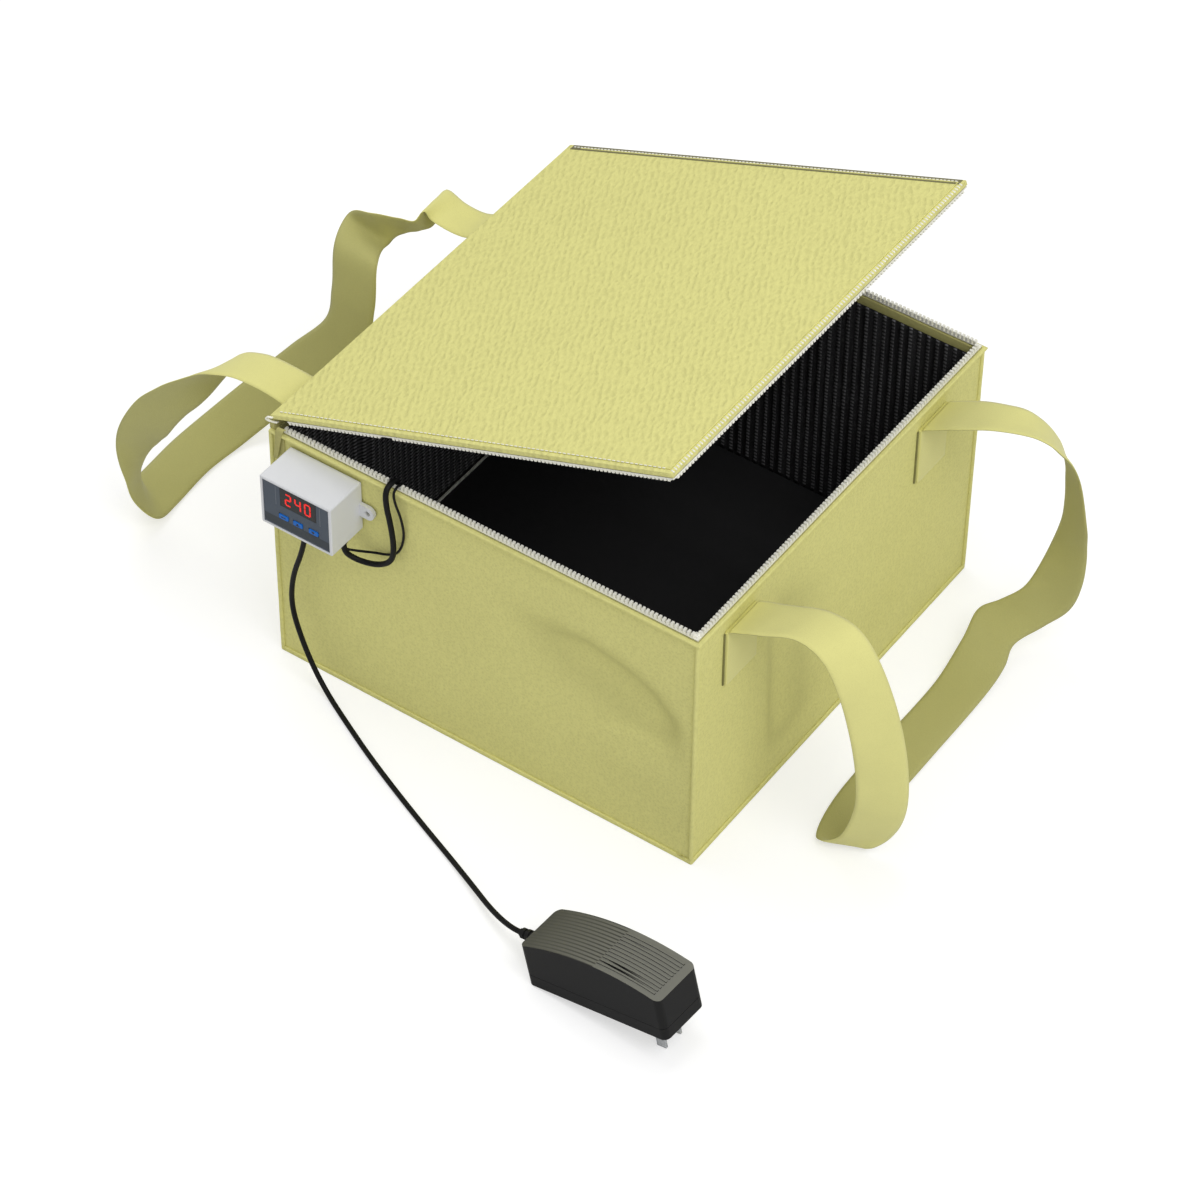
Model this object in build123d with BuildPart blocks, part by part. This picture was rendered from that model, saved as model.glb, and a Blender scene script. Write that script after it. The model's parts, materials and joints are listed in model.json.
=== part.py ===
from build123d import *
import math
import os

# Insulated zip bag for proofing dough, with a heating pad, a controller and a plug-in adapter.
# Millimetres. The origin is the middle of the bag's base, on the floor. The front faces -Y.

# Bag
bag_side = 290.0
wall_top = 178.0
skin = 0.8
foam = 1.6
lining = 0.4
base_foam = 4.0
rib_pitch = 6.0
rib_width = 2.2
rib_height = 0.4
rib_end_gap = 4.0
half = bag_side / 2
wall = skin + foam + lining

# Rim and zip
binding = 0.6
binding_leg = 6.0
piping_radius = 1.1
tape_thickness = 0.6
tape_rise = 0.8
tooth_pitch = 2.7
tooth_width = 1.5
tooth_thickness = 2.2
tooth_rise = 3.6
lid_tooth_rise = 2.2
tooth_cord = 0.8
zip_inset = 1.5
zip_start = 9.0
closed_gap = 0.3

# Lid
lid_skin = 0.8
lid_foam = 1.6
lid_lining = 0.4
lid_open = 21.2
hinge_clearance = 0.3
lid_cord_radius = 0.7

# Seams and tabs
seam_radius = 1.4
base_seam_height = 3.0
base_seam_proud = 1.3
tab_width = 3.5
tab_height = 14.0
tab_inset = 8.0

# Heating pad
pad_gap = 0.6
pad_sheet = 0.8
pad_cover = 1.2
element_thickness = 0.35
element_width = 5.0
element_pitch = 24.0
element_margin = 26.0
pad_seam = 8.0
boot_length = 12.0
boot_width = 9.0
boot_height = 5.0

# Handles
strap_width = 30.0
strap_thickness = 1.6
strap_drop = 12.0
strap_near_inset = 41.0
strap_far_inset = 53.0
drawn_height = 166.0
drawn_span = 196.0
strap_out = 2.8
strap_steps = 3
patch_thickness = 2.4
patch_length = 41.0

# Controller
case_width = 50.0
case_height = 36.0
case_depth = 24.5
case_wall = 1.6
case_corner = 1.2
case_inset = 39.0
case_drop = 24.0
bezel_depth = 3.5
bezel_ledge = 1.9
face_margin = 2.0
face_thickness = 1.2
face_gap = 0.2
ear_reach = 5.5
ear_radius = 4.5
ear_hole = 3.6
ear_thickness = 2.5
ear_drop = 1.5
pad_tape = 1.0
window_width = 25.0
window_height = 13.4
window_thickness = 1.2
window_x = 1.5
window_z = 8.5
digit_height = 9.0
digit_width = 4.6
digit_stroke = 1.0
digit_pitch = 6.8
digit_relief = 0.2
button_width = 6.6
button_height = 3.4
button_depth = 2.8
button_proud = 0.6
button_gap = 0.3
button_travel = 0.8
button_spots = (-9.0, 1.0, 12.0)
button_z = -6.5
switch_gap = 0.3
board_thickness = 1.6
board_margin = 2.2
post_radius = 2.0
post_inset = 4.5
bush_length = 3.4
bush_flange = 1.2
bush_flange_proud = 0.9
bush_gap = 0.1

# Leads
cord_diameter = 3.2
heater_diameter = 3.4
sensor_diameter = 1.5
probe_diameter = 5.0
probe_length = 25.0
heater_cross_run = 45.5
sensor_cross_run = 50.0
lead_gap = 1.0

# Adapter
adapter_run = 227.7
adapter_out = 124.5
adapter_turn = -3.0
adapter_length = 98.0
adapter_width = 34.0
adapter_low = 8.0
adapter_end_height = 28.0
adapter_arch = 8.0
adapter_wall = 1.8
adapter_corner = 4.0
blade_length = 17.0
blade_width = 6.4
blade_thickness = 1.6
blade_spacing = 12.7
blade_inset = 15.0
plate_length = 22.0
plate_width = 24.0
plate_thickness = 1.6
relief_length = 15.0
relief_radius = 4.2
relief_height = 18.0
ridge_pitch = 2.6
ridge_width = 1.2
ridge_rise = 0.5
ridge_count = 11
ridge_start = 54.0
ridge_end = 93.0

case_x = case_inset - half
case_z = wall_top - case_drop
face_width = case_width - 2 * face_margin
face_height = case_height - 2 * face_margin
heater_cross = case_x + heater_cross_run
sensor_cross = case_x + sensor_cross_run
strap_height = wall_top - strap_drop
strap_near = strap_near_inset - half
strap_far = half - strap_far_inset
base_top = skin + base_foam
floor_top = base_top + lining
pad_top = floor_top + pad_sheet + pad_cover
teeth_base = wall_top + tape_rise
teeth_top = teeth_base + tooth_rise
lid_thickness = lid_skin + lid_foam + lid_lining
lid_radius = lid_thickness / 2
lid_under = teeth_top + closed_gap + lid_tooth_rise + tape_rise
hinge_z = lid_under + lid_radius
hinge_x = lid_radius - half
lid_length = half - hinge_x

os.makedirs("parts", exist_ok=True)


def write(name, block):
    """Label one finished piece and write it under its name."""
    block.part.label = name
    export_step(block.part, "parts/" + name + ".step")


def wall_plane(turn, depth=0.0):
    """Plane on one wall, depth below its outer face: x along it, y up, z outward."""
    angle = math.radians(90 * turn - 90)
    outward = Vector(math.cos(angle), math.sin(angle), 0)
    along = Vector(-math.sin(angle), math.cos(angle), 0)
    return Plane(origin=outward * (half - depth), x_dir=along, z_dir=outward)


def square_ring(outer_depth, thickness):
    """Square outline from one depth below the outer faces to another."""
    Rectangle(2 * (half - outer_depth), 2 * (half - outer_depth))
    inner = half - outer_depth - thickness
    Rectangle(2 * inner, 2 * inner, mode=Mode.SUBTRACT)


panel_top = wall_top - binding

# The front and back panels cover the corners, and the side panels stand between them.
for turn, side_name in enumerate(("front", "right", "back", "left")):
    with BuildPart() as panel:
        with BuildSketch(wall_plane(turn)):
            with Locations((0, (skin + panel_top) / 2)):
                Rectangle(bag_side - (2 * skin if turn % 2 else 0), panel_top - skin)
        extrude(amount=-skin)
    write(side_name + "_panel", panel)

with BuildPart() as wall_foam:
    with BuildSketch(Plane.XY.offset(base_top)):
        square_ring(skin, foam)
    extrude(amount=panel_top - base_top)
write("wall_foam", wall_foam)

rib_top = panel_top - binding_leg
rib_count = int(2 * (half - wall - rib_end_gap) / rib_pitch)
with BuildPart() as wall_lining:
    with BuildSketch(Plane.XY.offset(base_top)):
        square_ring(skin + foam, lining)
    extrude(amount=panel_top - base_top)
    with BuildSketch(Plane.XY.offset(pad_top)):
        rib_row = 2 * (half - wall) - rib_height
        with GridLocations(rib_pitch, rib_row, rib_count, 2):
            Rectangle(rib_width, rib_height)
        with GridLocations(rib_row, rib_pitch, 2, rib_count):
            Rectangle(rib_height, rib_width)
    extrude(amount=rib_top - pad_top)
write("wall_lining", wall_lining)


def floor_sheet(side, bottom, thickness):
    with BuildPart() as sheet:
        with BuildSketch(Plane.XY.offset(bottom)):
            Rectangle(side, side)
        extrude(amount=thickness)
    return sheet


write("base_panel", floor_sheet(bag_side, 0, skin))
write("base_foam", floor_sheet(2 * (half - skin), skin, base_foam))
write("base_lining", floor_sheet(2 * (half - wall), base_top, lining))

# Heating pad: a lower sheet, a zigzag element and a cover with a pocket for it.
pad_side = 2 * (half - wall - rib_height - pad_gap)
write("pad_sheet", floor_sheet(pad_side, floor_top, pad_sheet))
pad_middle = floor_top + pad_sheet

with BuildPart() as pad_cover_part:
    with BuildSketch(Plane.XY.offset(pad_middle)):
        Rectangle(pad_side, pad_side)
    extrude(amount=pad_cover)
    with BuildSketch(Plane.XY.offset(pad_middle)):
        Rectangle(pad_side - 2 * pad_seam, pad_side - 2 * pad_seam)
    extrude(amount=element_thickness + hinge_clearance / 3, mode=Mode.SUBTRACT)
write("pad_cover", pad_cover_part)

element_half = pad_side / 2 - element_margin
element_rows = int(2 * element_half / element_pitch) + 1
element_points = []
for row in range(element_rows):
    row_y = -element_half + row * element_pitch
    ends = (-element_half, element_half) if row % 2 == 0 else (element_half, -element_half)
    element_points.append((ends[0], row_y))
    element_points.append((ends[1], row_y))

with BuildPart() as heating_element:
    with BuildSketch(Plane.XY.offset(pad_middle)):
        with BuildLine():
            FilletPolyline(*element_points, radius=element_pitch / 3)
        trace(line_width=element_width)
    extrude(amount=element_thickness)
write("heating_element", heating_element)

# Four corner seams, each a bead that hugs the outside of its corner.
with BuildPart() as corner_seams:
    with BuildSketch(Plane.XY.offset(base_seam_height)):
        with GridLocations(bag_side, bag_side, 2, 2):
            Circle(seam_radius)
        Rectangle(bag_side, bag_side, mode=Mode.SUBTRACT)
    extrude(amount=wall_top - 2 * piping_radius - base_seam_height)
write("corner_seams", corner_seams)

with BuildPart() as base_seam:
    seam_side = bag_side + 2 * base_seam_proud
    with BuildSketch():
        RectangleRounded(seam_side, seam_side, base_seam_proud)
        Rectangle(bag_side, bag_side, mode=Mode.SUBTRACT)
    extrude(amount=base_seam_height)
    outside = base_seam.edges().filter_by(GeomType.LINE).group_by(Axis.Z)[-1]
    outside = outside.filter_by(lambda edge: max(abs(edge.center().X), abs(edge.center().Y)) > half + 1)
    fillet(outside, base_seam_proud * 0.7)
write("base_seam", base_seam)

# Rim binding: folds over the top of the walls and down inside them.
with BuildPart() as rim_binding:
    inner_side = 2 * (half - wall)
    with BuildSketch(Plane.XY.offset(panel_top)):
        Rectangle(bag_side, bag_side)
        Rectangle(inner_side - 2 * binding, inner_side - 2 * binding, mode=Mode.SUBTRACT)
    extrude(amount=binding)
    with BuildSketch(Plane.XY.offset(wall_top - binding_leg)):
        Rectangle(inner_side, inner_side)
        Rectangle(inner_side - 2 * binding, inner_side - 2 * binding, mode=Mode.SUBTRACT)
    extrude(amount=binding_leg)
write("rim_binding", rim_binding)


def band_outline(left, right, inner, outer):
    """Outline round the front, right and back edges, open on the left, inner to outer from the face."""
    with Locations(((left + right + outer) / 2, 0)):
        Rectangle(right + outer - left, 2 * (half + outer))
    with Locations(((left + right + inner) / 2, 0)):
        Rectangle(right + inner - left, 2 * (half + inner), mode=Mode.SUBTRACT)


def three_sided_band(plane, left, right, inner, outer, height):
    with BuildPart() as band:
        with BuildSketch(plane):
            band_outline(left, right, inner, outer)
        extrude(amount=height)
    return band


# Rolled edge round the rim, under the zip.
with BuildPart() as rim_piping:
    with BuildSketch(Plane.XY.offset(wall_top - 2 * piping_radius)):
        band_outline(-half, half, 0, 2 * piping_radius)
    extrude(amount=2 * piping_radius)
    roll_edges = rim_piping.edges().filter_by(
        lambda edge: abs(edge.tangent_at(0.5).Z) < 0.1
        and edge.length > half
        and max(abs(edge.center().X), abs(edge.center().Y)) > half + piping_radius
    )
    fillet(roll_edges, piping_radius * 0.85)
write("rim_piping", rim_piping)

zip_left = -half + zip_start
tape_inner = -zip_inset - tape_thickness / 2
tape_outer = -zip_inset + tape_thickness / 2
rim_plane = Plane.XY.offset(wall_top)
write("box_zip_tape", three_sided_band(rim_plane, zip_left, half, tape_inner, tape_outer, tape_rise))


def tooth_comb(plane, left, right, rise, front, lead_left, lead_right):
    """Teeth on a cord round three edges, left out where the leads cross the front edge.

    The plane is at the cord's back with its z towards the tips, and front is the sign of its front edge.
    """
    outer = -zip_inset + tooth_thickness / 2
    inner = outer - tooth_thickness
    middle = (inner + outer) / 2
    side_count = int(2 * (half + inner) / tooth_pitch)
    row_count = int((right + inner - left) / tooth_pitch)
    with BuildPart() as comb:
        with BuildSketch(plane):
            band_outline(left, right, inner, outer)
        extrude(amount=tooth_cord)
        with BuildSketch(plane):
            with Locations((right + middle, 0)):
                with GridLocations(1, tooth_pitch, 1, side_count):
                    Rectangle(tooth_thickness, tooth_width)
            with Locations((left + tooth_pitch * row_count / 2, 0)):
                with GridLocations(tooth_pitch, 2 * (half + middle), row_count, 2):
                    Rectangle(tooth_width, tooth_thickness)
        extrude(amount=rise)
        with BuildSketch(plane.offset(tooth_cord)):
            with Locations(((lead_left + lead_right) / 2, front * (half + middle))):
                Rectangle(lead_right - lead_left, 2 * tooth_thickness)
        extrude(amount=rise, mode=Mode.SUBTRACT)
    return comb


lead_left = heater_cross - heater_diameter / 2 - lead_gap
lead_right = sensor_cross + sensor_diameter / 2 + lead_gap


box_teeth_plane = Plane.XY.offset(teeth_base)
write("box_zip_teeth", tooth_comb(box_teeth_plane, zip_left, half, tooth_rise, -1, lead_left, lead_right))

# Hinge strip: the fold of fabric on the left wall that carries the lid.
strip_top = hinge_z - lid_radius - hinge_clearance
with BuildPart() as hinge_strip:
    with BuildSketch(Plane.XZ.offset(-half)) as strip_profile:
        with Locations((-half + wall / 2, (wall_top + strip_top) / 2)):
            Rectangle(wall, strip_top - wall_top)
    extrude(amount=bag_side)
    rounded = hinge_strip.edges().filter_by(Axis.Y).group_by(Axis.Z)[-1]
    fillet(rounded, wall * 0.4)
    with BuildSketch(Plane.XZ.offset(-half)):
        with Locations((-half - binding / 2, wall_top)):
            Rectangle(binding, 2 * binding_leg)
    extrude(amount=bag_side)
    with BuildSketch(Plane.XY.offset(wall_top - binding_leg)):
        with GridLocations(bag_side + 2 * seam_radius, bag_side, 2, 2):
            Rectangle(2 * seam_radius, 2 * seam_radius)
    extrude(amount=binding_leg, mode=Mode.SUBTRACT)
write("hinge_strip", hinge_strip)

# Tape ends folded over the zip at the two hinge corners.
with BuildPart() as corner_tabs:
    for face in (0, 2):
        flip = -1 if face == 0 else 1
        with BuildSketch(wall_plane(face)):
            with Locations((flip * (half - tab_inset), panel_top - 2 * piping_radius - tab_height / 2)):
                Rectangle(tab_width, tab_height)
        extrude(amount=binding)
write("corner_tabs", corner_tabs)

# Lid. Its own plane starts at the hinge: x to the right, z out of its top.
tilt = math.radians(lid_open)
lid_plane = Plane(
    origin=(hinge_x, 0, hinge_z),
    x_dir=(math.cos(tilt), 0, math.sin(tilt)),
    z_dir=(-math.sin(tilt), 0, math.cos(tilt)),
)


def lid_sheet(bottom, thickness, margin, left):
    """Flat sheet of the lid between two heights, inset from its edges."""
    with BuildPart() as sheet:
        with BuildSketch(lid_plane.offset(bottom)):
            with Locations(((left + lid_length - margin) / 2, 0)):
                Rectangle(lid_length - margin - left, bag_side - 2 * margin)
        extrude(amount=thickness)
    return sheet


with BuildPart() as lid_panel:
    with BuildSketch(lid_plane.offset(-lid_radius)):
        with Locations((lid_length / 2, 0)):
            Rectangle(lid_length, bag_side)
    extrude(amount=lid_thickness)
    hinge_end = lid_plane.from_local_coords(Vector(0, half, 0))
    with BuildSketch(Plane(origin=hinge_end, x_dir=lid_plane.x_dir, z_dir=(0, 1, 0))):
        Circle(lid_radius)
    extrude(amount=-bag_side)
    with BuildSketch(lid_plane.offset(-lid_radius)):
        with Locations(((lid_radius + lid_length - lid_skin) / 2, 0)):
            Rectangle(lid_length - lid_skin - lid_radius, bag_side - 2 * lid_skin)
    extrude(amount=lid_foam + lid_lining, mode=Mode.SUBTRACT)
write("lid_panel", lid_panel)

write("lid_foam", lid_sheet(-lid_radius + lid_lining, lid_foam, lid_skin, lid_radius))

rib_reach = half - wall - 3 * rib_height - rib_end_gap
lid_ribs = int(2 * rib_reach / rib_pitch)
with BuildPart() as lid_lining_part:
    with BuildSketch(lid_plane.offset(-lid_radius)):
        with Locations(((lid_radius + lid_length - lid_skin) / 2, 0)):
            Rectangle(lid_length - lid_skin - lid_radius, bag_side - 2 * lid_skin)
    extrude(amount=lid_lining)
    with BuildSketch(lid_plane.offset(-lid_radius)):
        with Locations((lid_length / 2, 0)):
            with GridLocations(1, rib_pitch, 1, lid_ribs):
                Rectangle(2 * rib_reach, rib_width)
    extrude(amount=-rib_height)
write("lid_lining", lid_lining_part)

lid_zip_left = zip_start + lid_radius
lid_tape_plane = lid_plane.offset(-lid_radius - tape_rise)
lid_tape = three_sided_band(lid_tape_plane, lid_zip_left, lid_length, tape_inner, tape_outer, tape_rise)
write("lid_zip_tape", lid_tape)
lid_teeth_plane = Plane(
    origin=lid_plane.from_local_coords(Vector(0, 0, -lid_radius - tape_rise)),
    x_dir=lid_plane.x_dir,
    z_dir=-lid_plane.z_dir,
)
lid_gap = (lead_left - hinge_x, lead_right - hinge_x)
write("lid_zip_teeth", tooth_comb(lid_teeth_plane, lid_zip_left, lid_length, lid_tooth_rise, 1, *lid_gap))

# Raised sewn cord round the top edges of the lid.
cord_inset = 3.0
lid_top = lid_plane.offset(lid_radius)
cord_inner = -cord_inset - lid_cord_radius
lid_cord = three_sided_band(lid_top, lid_zip_left, lid_length, cord_inner, -cord_inset, lid_cord_radius)
write("lid_cord", lid_cord)

# Zip slider at the end of the zip beside the far hinge corner, with a hinged pull.
slider_length = 9.0
slider_plate = 1.2
slider_x = -half + slider_length / 2
slider_low = wall_top + tape_rise / 2
slider_high = lid_under - closed_gap
slider_body = zip_start - wall - 2 * closed_gap
pin_radius = 0.6
pin_out = 3.3
pin_z = (slider_low + slider_high) / 2
lug_thickness = 1.0
eye_radius = 1.5
eye_gap = 0.2
eye_width = 3.4
pull_length = 22.0
pull_width = 5.4
pull_hole = 4.5
slider_side = Plane(origin=(slider_x, half, 0), x_dir=(0, 1, 0), z_dir=(1, 0, 0))
lug_span = eye_width / 2 + eye_gap

with BuildPart() as zip_slider:
    with BuildSketch(wall_plane(2)):
        with Locations((-slider_x, (slider_low + slider_high) / 2)):
            RectangleRounded(slider_length, slider_high - slider_low, 1.2)
    extrude(amount=slider_plate)
    with BuildSketch(wall_plane(2)):
        with Locations((half - wall - closed_gap - slider_body / 2, (wall_top + teeth_top) / 2)):
            Rectangle(slider_body, teeth_top - wall_top)
    extrude(amount=-wall)
    for lug_side in (-1, 1):
        lug_start = lug_side * (lug_span + lug_thickness / 2) - lug_thickness / 2
        with BuildSketch(slider_side.offset(lug_start)):
            with Locations(((slider_plate + pin_out) / 2, pin_z)):
                Rectangle(pin_out - slider_plate, 2 * pin_radius)
            with Locations((pin_out, pin_z)):
                Circle(pin_radius)
        extrude(amount=lug_thickness)
    with BuildSketch(slider_side.offset(-lug_span)):
        with Locations((pin_out, pin_z)):
            Circle(pin_radius)
    extrude(amount=2 * lug_span)
write("zip_slider", zip_slider)

with BuildPart() as zip_pull:
    with BuildSketch(slider_side.offset(-eye_width / 2)):
        with Locations((pin_out, pin_z)):
            Circle(eye_radius)
            Circle(pin_radius + eye_gap, mode=Mode.SUBTRACT)
    extrude(amount=eye_width)
    with BuildSketch(wall_plane(2, -pin_out + slider_plate / 2)):
        with Locations((-slider_x, pin_z - eye_radius - pull_length / 2 + 0.4)):
            RectangleRounded(pull_width, pull_length, 1.6)
        with Locations((-slider_x, pin_z - pull_length + pull_hole / 2)):
            RectangleRounded(pull_width - 2 * slider_plate, pull_hole, 1.0, mode=Mode.SUBTRACT)
    extrude(amount=slider_plate)
write("zip_pull", zip_pull)


def smooth_points(points, steps):
    """Points on a smooth curve through the given ones, with this many steps in each span."""
    padded = [points[0], *points, points[-1]]
    curve = []
    for before, start, end, after in zip(padded, padded[1:], padded[2:], padded[3:]):
        slope = (end - before) * 0.5
        bend = (before * 2 - start * 5 + end * 4 - after) * 0.5
        twist = (start * 3 - before - end * 3 + after) * 0.5
        for step in range(steps):
            part = step / steps
            curve.append(start + slope * part + bend * part**2 + twist * part**3)
    curve.append(points[-1])
    return curve


# Handles. A station gives the two edges of the webbing as (out from the wall, along, up).
def strap_loop(side, stations):
    """Webbing loop lofted through thin sections, all of one width and thickness."""
    stretch = (strap_far - strap_near) / drawn_span
    rise = strap_height / drawn_height
    edges = []
    for edge in (0, 1):
        drawn = [pair[edge] for pair in stations]
        points = [Vector(side * (half + out), along * stretch, up * rise) for out, along, up in drawn]
        edges.append(smooth_points(points, strap_steps))
    middles = [(start + end) * 0.5 for start, end in zip(*edges)]
    across = [(end - start).normalized() for start, end in zip(*edges)]
    with BuildPart() as loop:
        for place, middle in enumerate(middles):
            ahead = middles[min(place + 1, len(middles) - 1)] - middles[max(place - 1, 0)]
            ahead = ahead - across[place] * ahead.dot(across[place])
            with BuildSketch(Plane(origin=middle, x_dir=across[place], z_dir=ahead)):
                Rectangle(strap_width, strap_thickness)
        loft()
    return loop


# The loops start and end at the fold lines above their sewn ends.
first_fold = ((strap_out, -119, drawn_height), (strap_out, -89, drawn_height))
last_fold = ((strap_out, 107, drawn_height), (strap_out, 77, drawn_height))
right_stations = (
    first_fold,
    ((20, -115, 171), (20, -86, 170)),
    ((40, -109, 174), (42, -80, 173)),
    ((57, -109, 167), (62, -80, 170)),
    ((68, -109, 147), (77, -81, 154)),
    ((75, -107, 116), (91, -81, 123)),
    ((77, -104, 82), (100, -79, 84)),
    ((74, -100, 50), (101, -78, 47)),
    ((61, -96, 17), (93, -75, 18)),
    ((44, -91, 4), (80, -78, 3)),
    ((39, -56, 2), (70, -50, 2)),
    ((38, 2, 2), (69, 4, 2)),
    ((38, 52, 3), (69, 56, 3)),
    ((40, 80, 16), (68, 86, 9)),
    ((54, 97, 44), (80, 105, 32)),
    ((67, 113, 73), (93, 109, 68)),
    ((71, 124, 102), (95, 112, 114)),
    ((68, 132, 126), (84, 116, 145)),
    ((64, 132, 145), (74, 110, 162)),
    ((56, 128, 160), (62, 102, 173)),
    ((43, 120, 172), (43, 91, 177)),
    ((23, 112, 173), (24, 82, 174)),
    last_fold,
)
write("right_handle", strap_loop(1, right_stations))

left_stations = (
    first_fold,
    ((21, -119, 172), (22, -90, 169)),
    ((43, -121, 174), (46, -92, 170)),
    ((62, -124, 170), (62, -95, 163)),
    ((79, -126, 160), (73, -100, 148)),
    ((97, -129, 145), (83, -107, 130)),
    ((113, -133, 129), (94, -112, 113)),
    ((123, -136, 108), (106, -112, 97)),
    ((128, -136, 85), (117, -109, 84)),
    ((127, -132, 57), (131, -104, 65)),
    ((127, -124, 30), (141, -101, 44)),
    ((121, -111, 8), (146, -99, 27)),
    ((125, -88, 2), (155, -88, 13)),
    ((128, -54, 2), (158, -54, 11)),
    ((125, -26, 3), (153, -24, 17)),
    ((113, -4, 16), (140, -1, 34)),
    ((92, 14, 41), (118, 16, 62)),
    ((68, 27, 74), (96, 24, 88)),
    ((62, 31, 106), (92, 27, 112)),
    ((65, 38, 134), (94, 34, 140)),
    ((59, 54, 151), (89, 56, 153)),
    ((50, 72, 145), (78, 73, 145)),
    ((38, 89, 136), (66, 90, 144)),
    ((31, 98, 135), (56, 94, 151)),
    ((24, 104, 138), (46, 94, 157)),
    ((13, 107, 150), (26, 84, 164)),
    last_fold,
)
write("left_handle", strap_loop(-1, left_stations))

patch_top = strap_height - strap_thickness / 2 - hinge_clearance
for turn, side_name in ((1, "right"), (3, "left")):
    facing = 1 if turn == 1 else -1
    with BuildPart() as patches:
        with BuildSketch(wall_plane(turn)):
            for along in (strap_near, strap_far):
                with Locations((facing * along, patch_top - patch_length / 2)):
                    Rectangle(strap_width, patch_length)
        extrude(amount=patch_thickness)
    write(side_name + "_strap_ends", patches)

# Controller, stuck to the front wall near its left corner.
case_plane = wall_plane(0, -pad_tape)

with BuildPart() as adhesive_pad:
    with BuildSketch(wall_plane(0)):
        with Locations((case_x, case_z)):
            RectangleRounded(case_width - 8, case_height - 8, 3)
    extrude(amount=pad_tape)
write("adhesive_pad", adhesive_pad)

bush_depth = case_depth / 2
cord_bush_x = case_x - 7
heater_bush_x = case_x + case_width / 2 - 4.5
sensor_bush_x = heater_bush_x - 6.5
bushes = (
    ("cord_bush", cord_bush_x, cord_diameter / 2 + 1),
    ("heater_bush", heater_bush_x, heater_diameter / 2 + 0.6),
    ("sensor_bush", sensor_bush_x, sensor_diameter / 2 + 0.9),
)
case_floor = case_z - case_height / 2
bush_y = -half - pad_tape - bush_depth

with BuildPart() as controller_case:
    with BuildSketch(case_plane):
        with Locations((case_x, case_z)):
            RectangleRounded(case_width, case_height, case_corner)
    extrude(amount=case_depth)
    with BuildSketch(case_plane.offset(case_wall)):
        with Locations((case_x, case_z)):
            Rectangle(case_width - 2 * case_wall, case_height - 2 * case_wall)
    extrude(amount=case_depth, mode=Mode.SUBTRACT)
    with BuildSketch(case_plane):
        for end in (-1, 1):
            ear_x = case_x + end * (case_width / 2 + ear_reach)
            with Locations((ear_x, case_z - ear_drop)):
                Circle(ear_radius)
            with Locations((ear_x - end * ear_reach / 2, case_z - ear_drop)):
                Rectangle(ear_reach + case_wall / 2, 2 * ear_radius)
            with Locations((ear_x, case_z - ear_drop)):
                Circle(ear_hole / 2, mode=Mode.SUBTRACT)
    extrude(amount=ear_thickness)
    with BuildSketch(case_plane.offset(case_wall)):
        with Locations((case_x, case_z)):
            post_x = case_width - 2 * (case_wall + post_inset)
            post_z = case_height - 2 * (case_wall + post_inset)
            with GridLocations(post_x, post_z, 2, 2):
                Circle(post_radius)
    board_depth = case_depth + bezel_ledge - button_depth - switch_gap - button_travel - 4.6 - board_thickness
    extrude(amount=board_depth - case_wall)
    for bush_name, bush_x, bush_radius in bushes:
        with BuildSketch(Plane.XY.offset(case_floor)):
            with Locations((bush_x, bush_y)):
                Circle(bush_radius + bush_gap)
        extrude(amount=case_wall, mode=Mode.SUBTRACT)
write("controller_case", controller_case)

for bush_name, bush_x, bush_radius in bushes:
    with BuildPart() as bush:
        with BuildSketch(Plane.XY.offset(case_floor - bush_length)):
            with Locations((bush_x, bush_y)):
                Circle(bush_radius)
        extrude(amount=bush_length + case_wall)
        with BuildSketch(Plane.XY.offset(case_floor - bush_flange)):
            with Locations((bush_x, bush_y)):
                Circle(bush_radius + bush_flange_proud)
        extrude(amount=bush_flange)
    write(bush_name, bush)

face_back = case_depth + bezel_ledge
with BuildPart() as controller_bezel:
    with BuildSketch(case_plane.offset(case_depth)):
        with Locations((case_x, case_z)):
            RectangleRounded(case_width, case_height, case_corner)
            Rectangle(face_width - 3, face_height - 3, mode=Mode.SUBTRACT)
    extrude(amount=bezel_ledge)
    with BuildSketch(case_plane.offset(face_back)):
        with Locations((case_x, case_z)):
            RectangleRounded(case_width, case_height, case_corner)
            Rectangle(face_width + 2 * face_gap, face_height + 2 * face_gap, mode=Mode.SUBTRACT)
    extrude(amount=bezel_depth - bezel_ledge)
    front_rim = controller_bezel.faces().sort_by(Axis.Y)[0].outer_wire().edges()
    chamfer(front_rim, 0.5)
write("controller_bezel", controller_bezel)

with BuildPart() as face_plate:
    with BuildSketch(case_plane.offset(face_back)):
        with Locations((case_x, case_z)):
            Rectangle(face_width, face_height)
        with Locations((case_x + window_x, case_z + window_z)):
            Rectangle(window_width + 2 * face_gap, window_height + 2 * face_gap, mode=Mode.SUBTRACT)
        for spot in button_spots:
            with Locations((case_x + spot, case_z + button_z)):
                hole_width = button_width + 2 * button_gap
                Rectangle(hole_width, button_height + 2 * button_gap, mode=Mode.SUBTRACT)
    extrude(amount=face_thickness)
write("face_plate", face_plate)

window_back = face_back + face_thickness - window_thickness
with BuildPart() as display_window:
    with BuildSketch(case_plane.offset(window_back)):
        with Locations((case_x + window_x, case_z + window_z)):
            Rectangle(window_width, window_height)
    extrude(amount=window_thickness)
write("display_window", display_window)

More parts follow.
